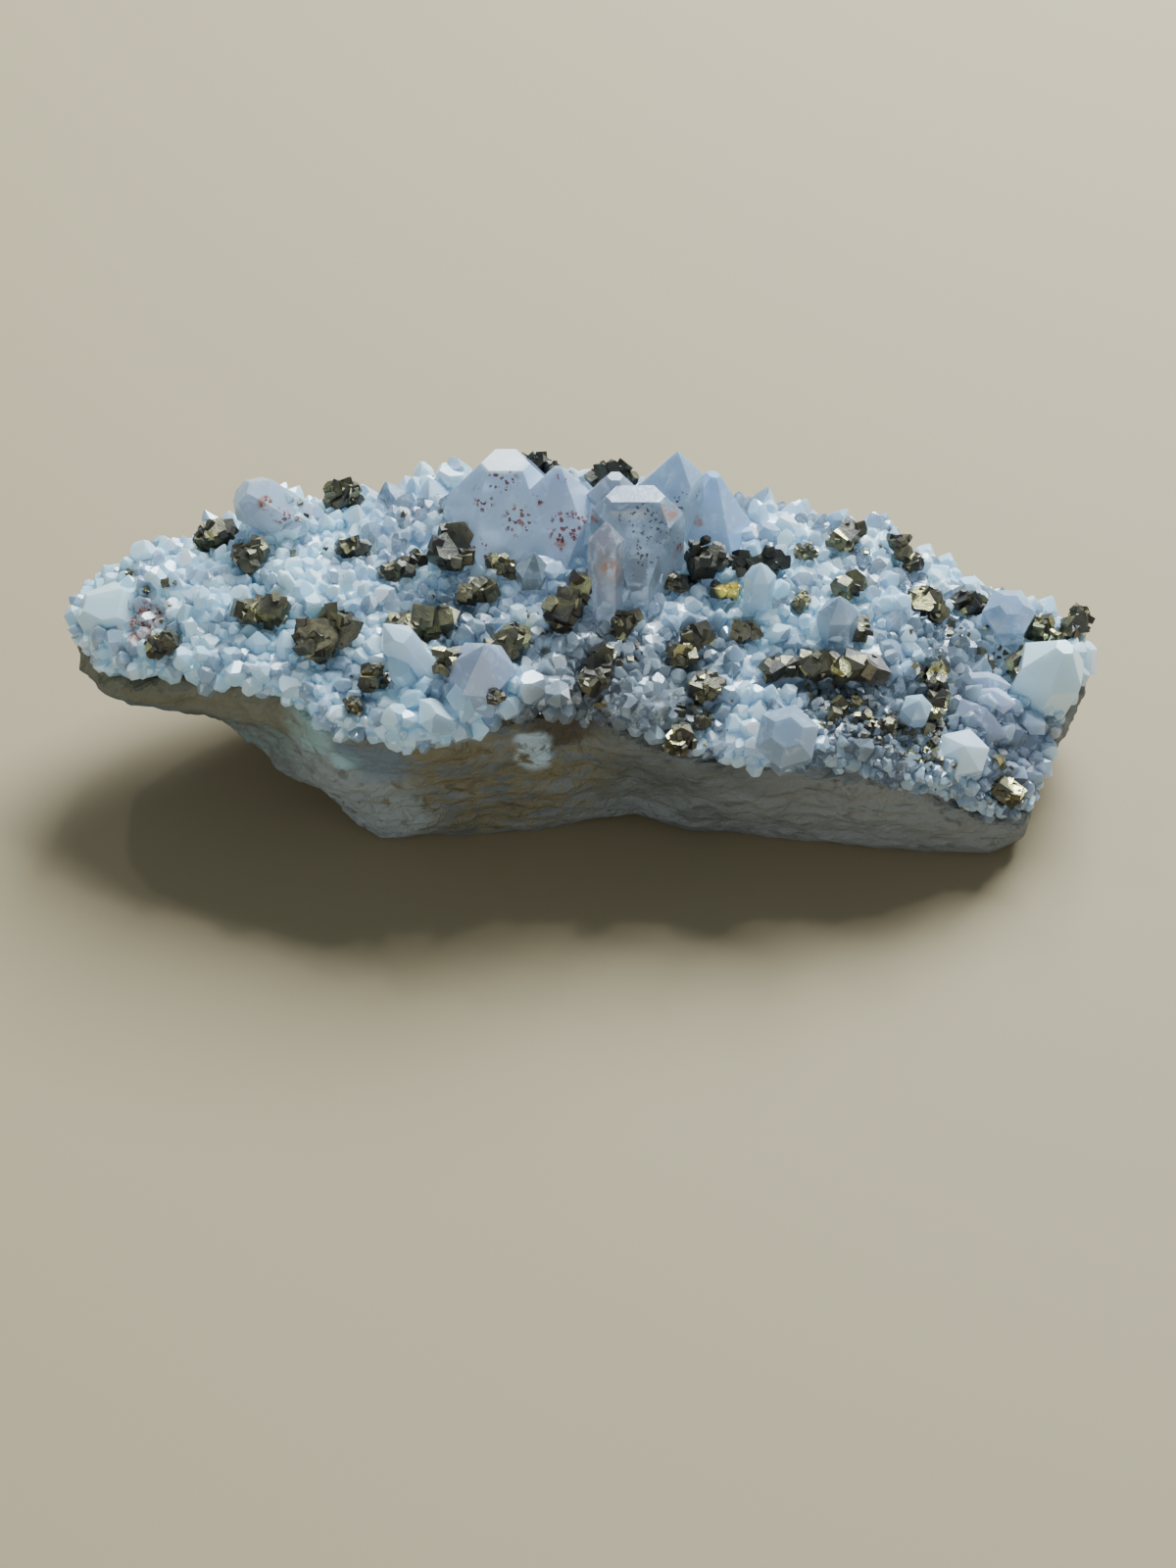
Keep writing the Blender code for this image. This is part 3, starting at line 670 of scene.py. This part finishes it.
def small_crystal_seats(crust, rock_tree, pyrite_tree, chance):
    """Where the small crystals of the druse stand."""
    places = list(surface_places(crust, PLACES_TRIED, chance))
    finder = KDTree(len(places))
    for number, (place, _) in enumerate(places):
        finder.insert(place, number)
    finder.balance()
    facings = [facing for _, facing in places]
    grid = {}
    seats = []
    for place, facing in places:
        if rock_tree.ray_cast(place + facing * 0.05 * MM, facing, 4 * MM)[0] is not None:
            continue
        near_rock = rock_tree.find_nearest(place)[3] / MM
        if facing.z < -0.5 or near_rock < FROM_ROCK:
            continue
        width = narrowed(wanted_width(place, chance), near_rock)
        near_pyrite = pyrite_tree.find_nearest(place)[3] / MM
        if near_pyrite < FROM_PYRITE:
            continue
        width = narrowed(width, near_pyrite)
        if on_large_point(place):
            continue
        reach = FREE_SHARE * width
        cell = tuple(int(math.floor(v / (CELL * MM))) for v in place)
        near = (
            other
            for i in (-1, 0, 1) for j in (-1, 0, 1) for k in (-1, 0, 1)
            for other in grid.get((cell[0] + i, cell[1] + j, cell[2] + k), ())
        )
        if any((place - other).length < 0.5 * (reach + gap) * MM for other, gap in near):
            continue
        grid.setdefault(cell, []).append((place, reach))
        up = outward(finder, facings, place) + Vector((0, 0, 0.45))
        lean = Vector([chance.gauss(0, 0.28) for _ in range(3)])
        axis = up.normalized() + lean
        axis.z = max(axis.z, 0.2 if near_rock > 2 else 0.5)
        if not in_box(place + axis.normalized() * (0.4 + 0.9 * width) * MM):
            width = max(0.5 * width, 0.7)
        turn = axis.to_track_quat("Z", "Y").to_matrix()
        turn = turn @ Matrix.Rotation(chance.uniform(0, math.pi), 3, "Z")
        size = (
            width * chance.uniform(0.8, 1.15), width * chance.uniform(0.8, 1.15),
            width * chance.uniform(0.8, 1.1),
        )
        seats.append((
            place + facing * (0.35 - 0.22 * width) * MM, turn.to_euler(), Vector(size) * MM,
            chance.randrange(SMALL_SHAPES), chance.random(),
        ))
    return seats


# Groups of rust-red flecks, dark flecks and orange-brown stains: each one's middle and reach in mm
RED_FLECKS = (
    ((-7.4, 1.9, 31.0), 1.5), ((-8.7, 2.0, 31.1), 1.0), ((-9.6, 0.8, 29.5), 1.3),
    ((-10.2, 1.7, 30.3), 0.9), ((-6.3, -0.4, 28.2), 2.0), ((-4.5, 0.9, 29.7), 0.8),
    ((-2.2, -1.5, 26.7), 1.4), ((-1.8, -0.7, 27.7), 2.2), ((0.4, -0.6, 28.6), 1.6),
    ((-2.0, 2.4, 31.5), 0.9), ((-9.8, -2.0, 26.0), 1.3), ((-30.6, 2.3, 28.3), 1.0),
    ((-29.3, 2.3, 26.7), 1.2), ((-28.0, 2.8, 26.2), 0.8), ((-42.2, -5.6, 20.5), 2.2),
    ((-15.0, -15.2, 20.4), 0.8),
)
DARK_FLECKS = (
    ((4.9, -2.3, 29.8), 2.6), ((6.6, -3.3, 28.3), 2.6), ((9.4, 2.1, 28.6), 1.3),
    ((10.9, 4.3, 27.8), 1.4), ((8.8, -1.3, 26.0), 2.0), ((5.2, -4.4, 26.4), 2.2),
)
RUST_STAINS = (
    ((8.0, -1.4, 29.9), 1.4), ((8.8, -1.2, 25.2), 1.3), ((11.0, 3.7, 25.1), 0.8),
    ((2.4, -6.9, 27.3), 1.5), ((-30.7, 2.3, 28.3), 1.0), ((-41.8, -5.8, 20.6), 2.4),
    ((-42.8, -6.8, 20.0), 1.8), ((-2.3, -1.5, 26.5), 0.8), ((0.6, -0.6, 28.7), 0.8),
)


# The large point's flat top, whitened as a painted reflection of the window; the front of the
# middle, made grey as painted shade; and the lilac crystals at the right end: middle and reach in mm
LIT_TOP = ((-7.9, 4.3, 31.9), 3.0)
PAINTED_SHADE_MIDDLE = ((2.0, -14.5, 15.5), 13)
LILAC = ((40, -13, 10), 7)

# Where the druse is brightest, the same way
BRIGHT_DRUSE = (
    ((22.0, -5.0, 21.0), 10), ((-14.0, -16.5, 20.0), 8), ((35.5, -17.5, 12.5), 4.5),
    ((45.5, -6.0, 14.0), 6), ((-7.0, -15.0, 21.0), 3.5), ((17.0, -3.0, 22.0), 7),
)

# Painted shadow: where the druse is darkened as if its crystals shaded one another, the same way
PAINTED_SHADOW_DRUSE = (
    ((25.5, -13.0, 16.0), 6), ((36.5, -5.0, 16.5), 6), ((33.5, -11.0, 15.0), 5),
    ((41.0, -13.5, 8.0), 5), ((-11.5, -8.0, 22.5), 5), ((1.5, -11.5, 19.5), 6.5),
    ((-1.5, -17.2, 20.0), 5), ((11.0, -9.0, 19.5), 4.5), ((27.0, -16.5, 15.0), 4.5),
)


def quartz_finish():
    """Milky bluish quartz, clearer in places, with rust-red flecks in the large points, and with
    painted shade, painted shadow, painted glints and a painted reflection.
    """
    made, tree, shader, output = finish_tree("milky_quartz")
    where = tree.place()
    x, y, z = tree.parts(where)
    tone = tree.number("tone")
    facet = tree.number("facet")
    large = tree.number("large")
    is_large = large.step(0.4, 0.6)
    cloud = tree.noise(where, 0.12, 3.0)
    wisps = tree.noise(where, 0.8, 4.0, 0.6, 0.6)

    milky = tree.blend(cloud.step(0.38, 0.6), rgb(0.40, 0.53, 0.68), rgb(0.54, 0.77, 0.95))
    bright = (1 - x.step(-26, -16)) * 0.7 + tree.near_any(where, BRIGHT_DRUSE) * 0.7
    bright = bright.at_most(0.85)
    milky = tree.blend(bright, milky, rgb(0.54, 0.85, 1.0))
    milky = tree.blend(tone.step(0.6, 0.9) * 0.8, milky, rgb(0.76, 0.93, 1.0))
    milky = tree.blend((1 - tone).step(0.6, 0.8) * 0.7, milky, rgb(0.32, 0.36, 0.45))
    # Painted shade: the front of the druse towards the right end is made slate grey.
    painted_shade_front_right = x.step(17, 24) * (1 - x.step(36, 42)) * (1 - y.step(-12, -7))
    milky = tree.blend(painted_shade_front_right * 0.7, milky, rgb(0.19, 0.23, 0.27))
    # Painted shadow: the druse is darkened where its crystals shade one another.
    milky = tree.blend(tree.near_any(where, PAINTED_SHADOW_DRUSE) * 0.8, milky, rgb(0.10, 0.115, 0.135))
    # Painted shade: the front of the middle is made grey.
    milky = tree.blend(tree.near(where, *PAINTED_SHADE_MIDDLE) * 0.8, milky, rgb(0.22, 0.235, 0.25))
    milky = tree.blend(tree.near(where, *LILAC) * 0.5, milky, rgb(0.38, 0.41, 0.55))
    stops = [(0.0, rgb(0.5, 0.5, 0.5))]
    count = len(LARGE_POINTS) + 1
    for number, name in enumerate(LARGE_POINTS, 1):
        stops.append(((number - 0.5) / count, LARGE_TINTS[name]))
    tints = tree.node(
        "ShaderNodeValToRGB", {"stops": stops, "steps": True}, {0: large * (1 / count)},
    )
    colour = tree.blend(is_large, milky, tints)
    colour = tree.blend(wisps.step(0.52, 0.75) * 0.35, colour, rgb(0.74, 0.88, 1.0))
    # Faces are lightened at random by the way they face: partly random tone, partly a painted
    # stand-in for how each face catches the light.
    colour = tree.blend(facet * 0.2, colour, rgb(0.84, 0.95, 1.0))
    # Painted glints: a few faces of the small crystals are made white.
    colour = tree.blend(facet.step(0.965, 0.975) * (1 - is_large), colour, rgb(1.0, 1.0, 1.0))
    # Painted reflection: the large point's flat top is whitened as if it mirrored the window.
    lit_top = tree.near(where, *LIT_TOP) * z.step(31.6, 31.8)
    colour = tree.blend(lit_top, colour, rgb(0.95, 1.0, 1.0))
    colour, marks = fleck(tree, where, colour)

    clear_small = (1 - tone).step(0.45, 0.9) * 0.75 + cloud.step(0.55, 0.35) * 0.2
    clear_small = clear_small * (1 - bright * 0.9)
    clear = clear_small * (1 - is_large) + tints.out("Alpha") * is_large
    clear = clear * (1 - marks) * (1 - wisps.step(0.5, 0.72) * 0.6)
    roughness = 0.05 + tone * 0.1 + facet * 0.16
    frost = bump(tree, tree.noise(where, 3.0, 3.0, 0.6), 0.12, 0.0002)
    feed(tree, shader, {
        "Base Color": colour, "Roughness": roughness, "IOR": 1.544, "Normal": frost,
        "Transmission Weight": 0.12, "Subsurface Weight": 0.45,
        "Subsurface Radius": (0.8, 0.9, 1.0), "Subsurface Scale": 0.0018, "Coat Weight": 0.5,
        "Coat Roughness": 0.03,
    })
    glassy = tree.tree.nodes.new("ShaderNodeBsdfPrincipled")
    feed(tree, glassy, {
        "Base Color": tree.blend(0.45, colour, rgb(0.86, 0.93, 1.0)), "Roughness": roughness * 0.6,
        "IOR": 1.544, "Normal": frost, "Transmission Weight": 0.88,
    })
    both = tree.tree.nodes.new("ShaderNodeMixShader")
    links = tree.tree.links
    links.new(clear.socket, both.inputs[0])
    links.new(shader.outputs[0], both.inputs[1])
    links.new(glassy.outputs[0], both.inputs[2])
    links.new(both.outputs[0], output.inputs["Surface"])
    return made


def fleck(tree, where, colour):
    """Stains and flecks over a colour, and how much of them there is."""
    bent = tree.node("ShaderNodeVectorMath", {"operation": "ADD"}, {
        0: where, 1: tree.scaled(tree.noise(where, 1.6, 2.0).out("Color"), (0.9, 0.9, 0.9)),
    })
    rust = tree.near_any(where, RUST_STAINS) * tree.noise(where, 1.2, 3.0).step(0.38, 0.55)
    colour = tree.blend(rust * 0.8, colour, rgb(0.38, 0.16, 0.07))
    cells = tree.cells(bent, 1.9)
    kept = tree.node("ShaderNodeSeparateColor", None, {0: cells.out("Color")})
    red = tree.near_any(where, RED_FLECKS) * (1 - cells.step(0.4, 0.48)) * kept.step(0.22, 0.26)
    shade = tree.blend(kept.out("Green"), rgb(0.15, 0.022, 0.02), rgb(0.36, 0.09, 0.04))
    colour = tree.blend(red * 0.95, colour, shade)
    fine = tree.cells(bent, 2.3)
    picked = tree.node("ShaderNodeSeparateColor", None, {0: fine.out("Color")})
    dark = tree.near_any(where, DARK_FLECKS) * (1 - fine.step(0.3, 0.4)) * picked.step(0.3, 0.34)
    colour = tree.blend(dark * 0.9, colour, rgb(0.07, 0.05, 0.06))
    return colour, (rust + red + dark).at_most(1)


def make_quartz():
    """The druse: the plain crust, its large points and many small crystals in one closed body."""
    crust = merged_copy(NODES["quartz_crust"], "quartz_druse")
    even_out(crust, BASE_SIZE, BASE_ROUNDS, -BASE_IN)
    rock_tree = tree_of(NODES["matrix_rock"])
    chance = random.Random(5)
    small = crystal_stock("small_crystals", SMALL_SHAPES, 21)
    large = stock("large_points")
    for number, name in enumerate(LARGE_POINTS, 1):
        put_in(large, large_point(number, name))
    seats = small_crystal_seats(crust, rock_tree, pyrite_surface(), chance)
    grow(crust, small, seats, large)
    discard(small)
    discard(large)
    crust.data.materials.append(quartz_finish())
    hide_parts("quartz_crust")
    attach(crust, "root")


# The pyrite


def pyrite_surface():
    """A search tree of the surfaces of all clumps."""
    corners, faces = [], []
    for name in PYRITES:
        mesh = NODES[name].data
        mesh.calc_loop_triangles()
        start = len(corners)
        corners += [vert.co for vert in mesh.vertices]
        faces += [tuple(i + start for i in t.vertices) for t in mesh.loop_triangles]
    return BVHTree.FromPolygons(corners, faces)


# Painted glints: where faces of the pyrite are more often made bright yellow, each patch's middle and
# reach in mm
PAINTED_PYRITE_GLINTS = (
    ((-7.9, -2.6, 25.3), 1.6), ((-6.4, -10.5, 23.4), 1.6), ((13.8, -3.6, 22.1), 1.8),
    ((24.2, -11.6, 19.2), 1.3), ((46.2, -0.5, 14.3), 1.6), ((33.5, -9.5, 17.0), 2.4),
    ((33.5, -12.5, 15.0), 2.0), ((41.3, -16.9, 8.9), 1.5), ((-12.8, 0.8, 27.0), 1.0),
    ((25.4, -7.0, 21.0), 1.3), ((2.4, 8.3, 28.6), 1.4), ((-23.6, 8.8, 25.7), 1.2),
    ((-30.4, -8.6, 23.8), 1.8),
)

# The painted glint that is a strong yellow
PAINTED_GOLD_GLINT = ((13.7, -3.9, 22.4), 1.6)


# Clumps that are darker than the others, the same way
DULL_PYRITE = (
    ((11.8, -0.3, 23.6), 4.5), ((-4.6, 8.6, 28.1), 3.5), ((2.6, 8.3, 27.5), 3.0),
    ((17.5, 0.0, 23.0), 4.0), ((-12.8, -1.5, 25.8), 3.0), ((1.0, -14.8, 21.3), 2.5),
)


def pyrite_finish():
    """Dark bronze and olive pyrite with some faces painted bright yellow as glints."""
    made, tree, shader, _ = finish_tree("bronze_pyrite")
    where = tree.place()
    tone = tree.number("tone")
    facet = tree.number("facet")
    patches = tree.noise(where, 0.16, 2.0)
    fine = tree.noise(where, 2.6, 4.0, 0.65)
    lines = tree.node("ShaderNodeTexWave", {"bands_direction": "DIAGONAL"}, {
        "Vector": where, "Scale": 1.3, "Distortion": 3.0, "Detail": 3.0,
    })
    mottle = tree.noise(where, 1.1, 3.0, 0.6, 0.5).step(0.42, 0.6)
    colour = tree.blend(patches.step(0.42, 0.58), rgb(0.075, 0.066, 0.06), rgb(0.15, 0.135, 0.085))
    # Faces are lightened at random by the way they face: partly the grains' own tone, partly a
    # painted stand-in for how each face catches the light.
    colour = tree.blend(facet.step(0.4, 0.9) * 0.7, colour, rgb(0.31, 0.265, 0.15))
    colour = tree.blend(tone.step(0.7, 0.9) * 0.5, colour, rgb(0.18, 0.165, 0.07))
    colour = tree.blend(mottle * 0.6, colour, rgb(0.075, 0.068, 0.06))
    glint = tree.near_any(where, PAINTED_PYRITE_GLINTS)
    dull = tree.near_any(where, DULL_PYRITE)
    colour = tree.blend(dull * 0.8, colour, rgb(0.05, 0.048, 0.042))
    # Painted glints: some faces, more of them in the glint patches, are made bright yellow and
    # smoother.
    bright = (facet + glint * 0.5 - dull).step(0.93, 0.96)
    colour = tree.blend(bright, colour, rgb(0.72, 0.64, 0.30))
    # Painted glint: one face is made a strong yellow.
    colour = tree.blend(tree.near(where, *PAINTED_GOLD_GLINT) * 0.9, colour, rgb(0.92, 0.70, 0.12))
    roughness = 0.3 + fine * 0.25 - bright * 0.15
    feed(tree, shader, {
        "Base Color": colour, "Roughness": roughness, "Metallic": 0.8,
        "Normal": bump(tree, fine + lines * 0.05, 0.35, 0.0003),
    })
    return made


# Clumps whose grains stand out of the large point that holds them, and how far in mm
STOOD_OUT = {
    "pyrite_centre_03": (0.0, -1.3, 0.4), "pyrite_centre_06": (-0.6, -1.2, 0.8),
    "pyrite_right_01": (0.0, 0.3, 0.8),
}


def clump_seats(clump, chance, out):
    """Where the grains of a clump stand, most of them turned alike."""
    area = sum(face.area for face in clump.data.polygons) / MM**2
    usual = min(max(0.2 * area**0.5, 0.6), 1.5)
    count = max(8, int(0.9 * area / usual**2))
    common = Euler([chance.uniform(0, math.pi) for _ in range(3)]).to_matrix()
    for place, facing in surface_places(clump, count, chance):
        width = usual * chance.uniform(0.45, 1.3)
        slack = 0.35 if chance.random() < 0.5 else 1.6
        own = Euler([chance.uniform(-slack, slack) for _ in range(3)]).to_matrix()
        size = Vector([width * chance.uniform(0.7, 1.2) for _ in range(3)])
        sunk = place - facing * chance.uniform(0.15, 0.4) * width * MM + Vector(out) * MM
        yield (
            sunk, (common @ own).to_euler(), size * MM, chance.randrange(GRAIN_SHAPES),
            chance.random(),
        )


def make_pyrites():
    """The clumps of pyrite and the specks, all grown from the same stock of grains."""
    grains = grain_stock("grains", GRAIN_SHAPES, 4)
    bronze = pyrite_finish()
    for name in PYRITES:
        clump = merged_copy(NODES[name], name.replace("pyrite", "clump"))
        out = STOOD_OUT.get(name, (0, 0, 0))
        grow(clump, grains, list(clump_seats(clump, random.Random(name), out)))
        clump.data.materials.append(bronze)
        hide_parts(name)
        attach(clump, "root")
    make_specks(grains, bronze)
    discard(grains)


# Where tiny dark grains are sown between the crystals: middle, reach in mm and how many
SPECKS = (
    ((25.0, -16.5, 15.5), 3.4, 60), ((29.0, -17.6, 14.6), 3.2, 60), ((32.5, -17.5, 13.6), 2.8, 40),
    ((34.5, -19.0, 12.0), 2.4, 24), ((23.0, -12.0, 17.5), 3.0, 14), ((34.0, -11.0, 15.5), 2.4, 20),
    ((10.0, -17.0, 15.5), 3.5, 26), ((3.0, -12.0, 18.5), 3.5, 16), ((1.5, -16.5, 16.5), 2.5, 14),
    ((-4.0, -10.5, 20.5), 3.0, 8), ((-13.0, -9.0, 22.5), 4.0, 8), ((-20.0, -15.5, 19.0), 3.0, 8),
    ((-27.0, 0.5, 24.5), 5.0, 8), ((-40.5, -5.5, 20.5), 2.5, 8), ((-44.6, -0.6, 21.1), 1.2, 4),
    ((36.0, -5.0, 16.5), 4.0, 12), ((40.5, -5.5, 14.5), 2.5, 10), ((12.0, -2.0, 23.0), 5.0, 10),
    ((-16.0, 3.0, 25.5), 4.0, 8), ((40.0, -17.0, 7.5), 2.5, 10), ((28.0, 4.0, 21.5), 5.0, 8),
)


def make_specks(grains, bronze):
    """Tiny dark grains between the quartz crystals."""
    chance = random.Random(31)
    surface = tree_of(bpy.data.objects["quartz_druse"])
    seats = []
    for middle, reach, count in SPECKS:
        for _ in range(count):
            away = Vector([chance.gauss(0, 0.45) for _ in range(3)]) * reach
            start = (Vector(middle) + Vector((away.x, away.y, 6))) * MM
            place, facing, _, _ = surface.ray_cast(start, Vector((0, 0.3, -1)))
            if place is None or on_large_point(place):
                continue
            width = 0.35 + 0.9 * chance.random() ** 2
            size = Vector([width * chance.uniform(0.7, 1.2) for _ in range(3)])
            turn = Euler([chance.uniform(0, math.pi) for _ in range(3)])
            seats.append((
                place - facing * 0.25 * width * MM, turn, size * MM,
                chance.randrange(GRAIN_SHAPES), chance.random(),
            ))
    bpy.ops.mesh.primitive_cube_add(size=0.6 * MM, location=seats[0][0])
    specks = newest("dark_specks")
    bpy.ops.object.transform_apply(location=True, rotation=False, scale=False)
    grow(specks, grains, seats)
    specks.data.materials.append(bronze)
    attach(specks, "root")


# The rock


def rough_out(obj):
    """Breaks up a solid's smooth surface, its underside staying flat."""
    group = bpy.data.node_groups.new("rough_out", "GeometryNodeTree")
    group.interface.new_socket("Geometry", in_out="INPUT", socket_type="NodeSocketGeometry")
    group.interface.new_socket("Geometry", in_out="OUTPUT", socket_type="NodeSocketGeometry")
    tree = Tree(group)
    body = tree.node("NodeGroupInput")
    where = tree.scaled(tree.node("GeometryNodeInputPosition"), (1000, 1000, 1000))
    _, _, z = tree.parts(where)
    laid = tree.scaled(where, (0.45, 1.0, 1.0))
    lumps = tree.noise(laid, 0.22, 2.0, 0.5)
    ledges = tree.noise(laid, 0.75, 4.0, 0.6, 0.6)
    chips = tree.cells(laid, 0.55).step(0.0, 0.7)
    grit = tree.noise(where, 3.2, 2.0, 0.6)
    out = (lumps - 0.5) * 1.6 + (ledges - 0.5) * 1.3 + chips * 0.35 + (grit - 0.5) * 0.22 - 0.15
    facing = tree.node("GeometryNodeInputNormal")
    lifted = out * z.step(0.2, 2.0) * MM
    move = tree.node("ShaderNodeVectorMath", {"operation": "SCALE"}, {0: facing, "Scale": lifted})
    moved = tree.node("GeometryNodeSetPosition", None, {"Geometry": body, "Offset": move})
    tree.node("NodeGroupOutput", None, {0: moved})
    modifier = obj.modifiers.new("rough_out", "NODES")
    modifier.node_group = group
    select_only(obj)
    bpy.ops.object.modifier_apply(modifier="rough_out")


# Patches of colour on the rock, each patch's middle and reach in mm
GOLD_VEINED = ((-10, -17, 11), 16)
PALE_KEEL = (((-23.6, -16, 8.5), 8), ((-20, -16.6, 4), 7.5))
TEAL = (((-29, -12.8, 10.8), 5.5), ((-32, -11.2, 11.2), 4))
BRIGHT_TEAL = (((-25.9, -15.8, 15.2), 3.6), ((-22.5, -17.0, 12.5), 2.0))
BLUE_GREY = (((-19.4, -17.4, 12.8), 3.8), ((-22.3, -16.8, 14.2), 2.0))
DARK_BROWN = ((-2, -17.5, 16.5), 4.5)
GLASSY = (((-4.9, -17.2, 15.0), 2.2), ((-4.7, -17.0, 12.8), 2.4))


def rock_finish():
    """Grey-brown rock with olive veins, teal patches and a paler keel."""
    made, tree, shader, _ = finish_tree("matrix_rock")
    where = tree.place()
    x, _, z = tree.parts(where)
    laid = tree.scaled(where, (0.4, 1.0, 1.0))
    broad = tree.noise(laid, 0.25, 3.0)
    veins = tree.noise(laid, 0.7, 4.0, 0.65, 0.8)
    blots = tree.noise(where, 0.5, 3.0, 0.6, 0.4)
    grit = tree.noise(where, 3.0, 3.0, 0.6)
    colour = tree.blend(broad.step(0.35, 0.65), rgb(0.10, 0.103, 0.088), rgb(0.18, 0.185, 0.17))
    gold = tree.near(where, *GOLD_VEINED) * veins.step(0.42, 0.56)
    colour = tree.blend(gold * 0.75, colour, rgb(0.20, 0.155, 0.065))
    colour = tree.blend(x.step(8, 24) * 0.7, colour, rgb(0.24, 0.235, 0.21))
    colour = tree.blend(veins.step(0.54, 0.7) * 0.65, colour, rgb(0.055, 0.05, 0.035))
    keel = tree.near_any(where, PALE_KEEL)
    colour = tree.blend(keel * blots.step(0.3, 0.5) * 0.75, colour, rgb(0.30, 0.32, 0.30))
    teal = tree.near_any(where, TEAL)
    colour = tree.blend(teal * blots.step(0.40, 0.62) * 0.6, colour, rgb(0.20, 0.27, 0.25))
    bright_teal = tree.near_any(where, BRIGHT_TEAL)
    colour = tree.blend(bright_teal * blots.step(0.32, 0.46) * 0.85, colour, rgb(0.33, 0.51, 0.50))
    colour = tree.blend(tree.near_any(where, BLUE_GREY) * 0.75, colour, rgb(0.14, 0.18, 0.22))
    strip = (1 - x.step(-30, -22)) * z.step(12.5, 14.0)
    colour = tree.blend(strip * 0.7, colour, rgb(0.19, 0.17, 0.10))
    tip = (1 - x.step(-44, -38)) * (1 - z.step(12.5, 14.0))
    colour = tree.blend(tip * 0.8, colour, rgb(0.07, 0.12, 0.12))
    brown = tree.near(where, *DARK_BROWN)
    colour = tree.blend(brown * 0.85, colour, rgb(0.06, 0.045, 0.028))
    glassy = tree.near_any(where, GLASSY) * blots.step(0.36, 0.5)
    colour = tree.blend(glassy * 0.85, colour, rgb(0.45, 0.56, 0.60))
    feed(tree, shader, {
        "Base Color": colour, "Roughness": 0.6 + grit * 0.35 - glassy * 0.4,
        "Normal": bump(tree, grit + veins, 0.4, 0.0006),
    })
    return made


def make_rock():
    """The rock with a broken surface."""
    rock = merged_copy(NODES["matrix_rock"], "rough_rock")
    even_out(rock, ROCK_SIZE, 1)
    rough_out(rock)
    select_only(rock)
    bpy.ops.object.shade_flat()
    rock.data.materials.clear()
    rock.data.materials.append(rock_finish())
    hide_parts("matrix_rock")
    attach(rock, "root")


# The room


# The lights: place and size in metres, power in watts and colour
LIGHTS = {
    "window": ((0.2, 0.45, 0.52), 0.42, 18.0, (0.78, 0.91, 1.0)),
    "low_fill": ((-0.15, -0.75, 0.2), 0.5, 2.2, (0.84, 0.93, 1.0)),
    "glint_left": ((-0.25, 0.5, 0.6), 0.03, 0.6, (1.0, 1.0, 1.0)),
    "glint_right": ((0.35, 0.3, 0.7), 0.03, 0.6, (1.0, 1.0, 1.0)),
}


def make_room():
    """The pale floor, the sky's light and the lights."""
    bpy.ops.mesh.primitive_plane_add(size=3, location=(0, 0, 0))
    floor = newest("floor")
    made, tree, shader, _ = finish_tree("pale_floor")
    feed(tree, shader, {"Base Color": rgb(0.315, 0.238, 0.128), "Roughness": 0.75})
    floor.data.materials.append(made)
    floor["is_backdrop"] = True

    world = bpy.data.worlds.new("room")
    bpy.context.scene.world = world
    world.use_nodes = True
    sky = world.node_tree.nodes["Background"]
    sky.inputs["Color"].default_value = rgb(0.66, 0.84, 1.0)
    sky.inputs["Strength"].default_value = 0.3

    for name, light in LIGHTS.items():
        add_light(name, *light)


def add_light(name, place, size, power, colour):
    """A square light that looks at the middle of the cluster."""
    data = bpy.data.lights.new(name, "AREA")
    data.size = size
    data.energy = power
    data.color = colour
    light = bpy.data.objects.new(name, data)
    light.location = place
    aim = Vector((0, 0, 0.015)) - Vector(place)
    light.rotation_euler = aim.to_track_quat("-Z", "Y").to_euler()
    bpy.context.scene.collection.objects.link(light)


# The camera: its place in metres, how far it is turned up from straight down, and its lens in mm
CAMERA_PLACE = (0.0003, -0.211367, 0.1844)
CAMERA_TURN = math.radians(48)
CAMERA_LENS = 63


def make_camera():
    """The camera, at the photograph's angle."""
    data = bpy.data.cameras.new("camera")
    data.lens = CAMERA_LENS
    data.sensor_width = 36
    camera = bpy.data.objects.new("camera", data)
    camera.location = CAMERA_PLACE
    camera.rotation_euler = (CAMERA_TURN, 0, 0)
    bpy.context.scene.collection.objects.link(camera)
    bpy.context.scene.camera = camera


make_camera()
make_room()
make_rock()
make_quartz()
make_pyrites()

boxes = {"cad": CAD_BOX, "scene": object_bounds()}
{name: [list(corner) for corner in box] for name, box in boxes.items()}
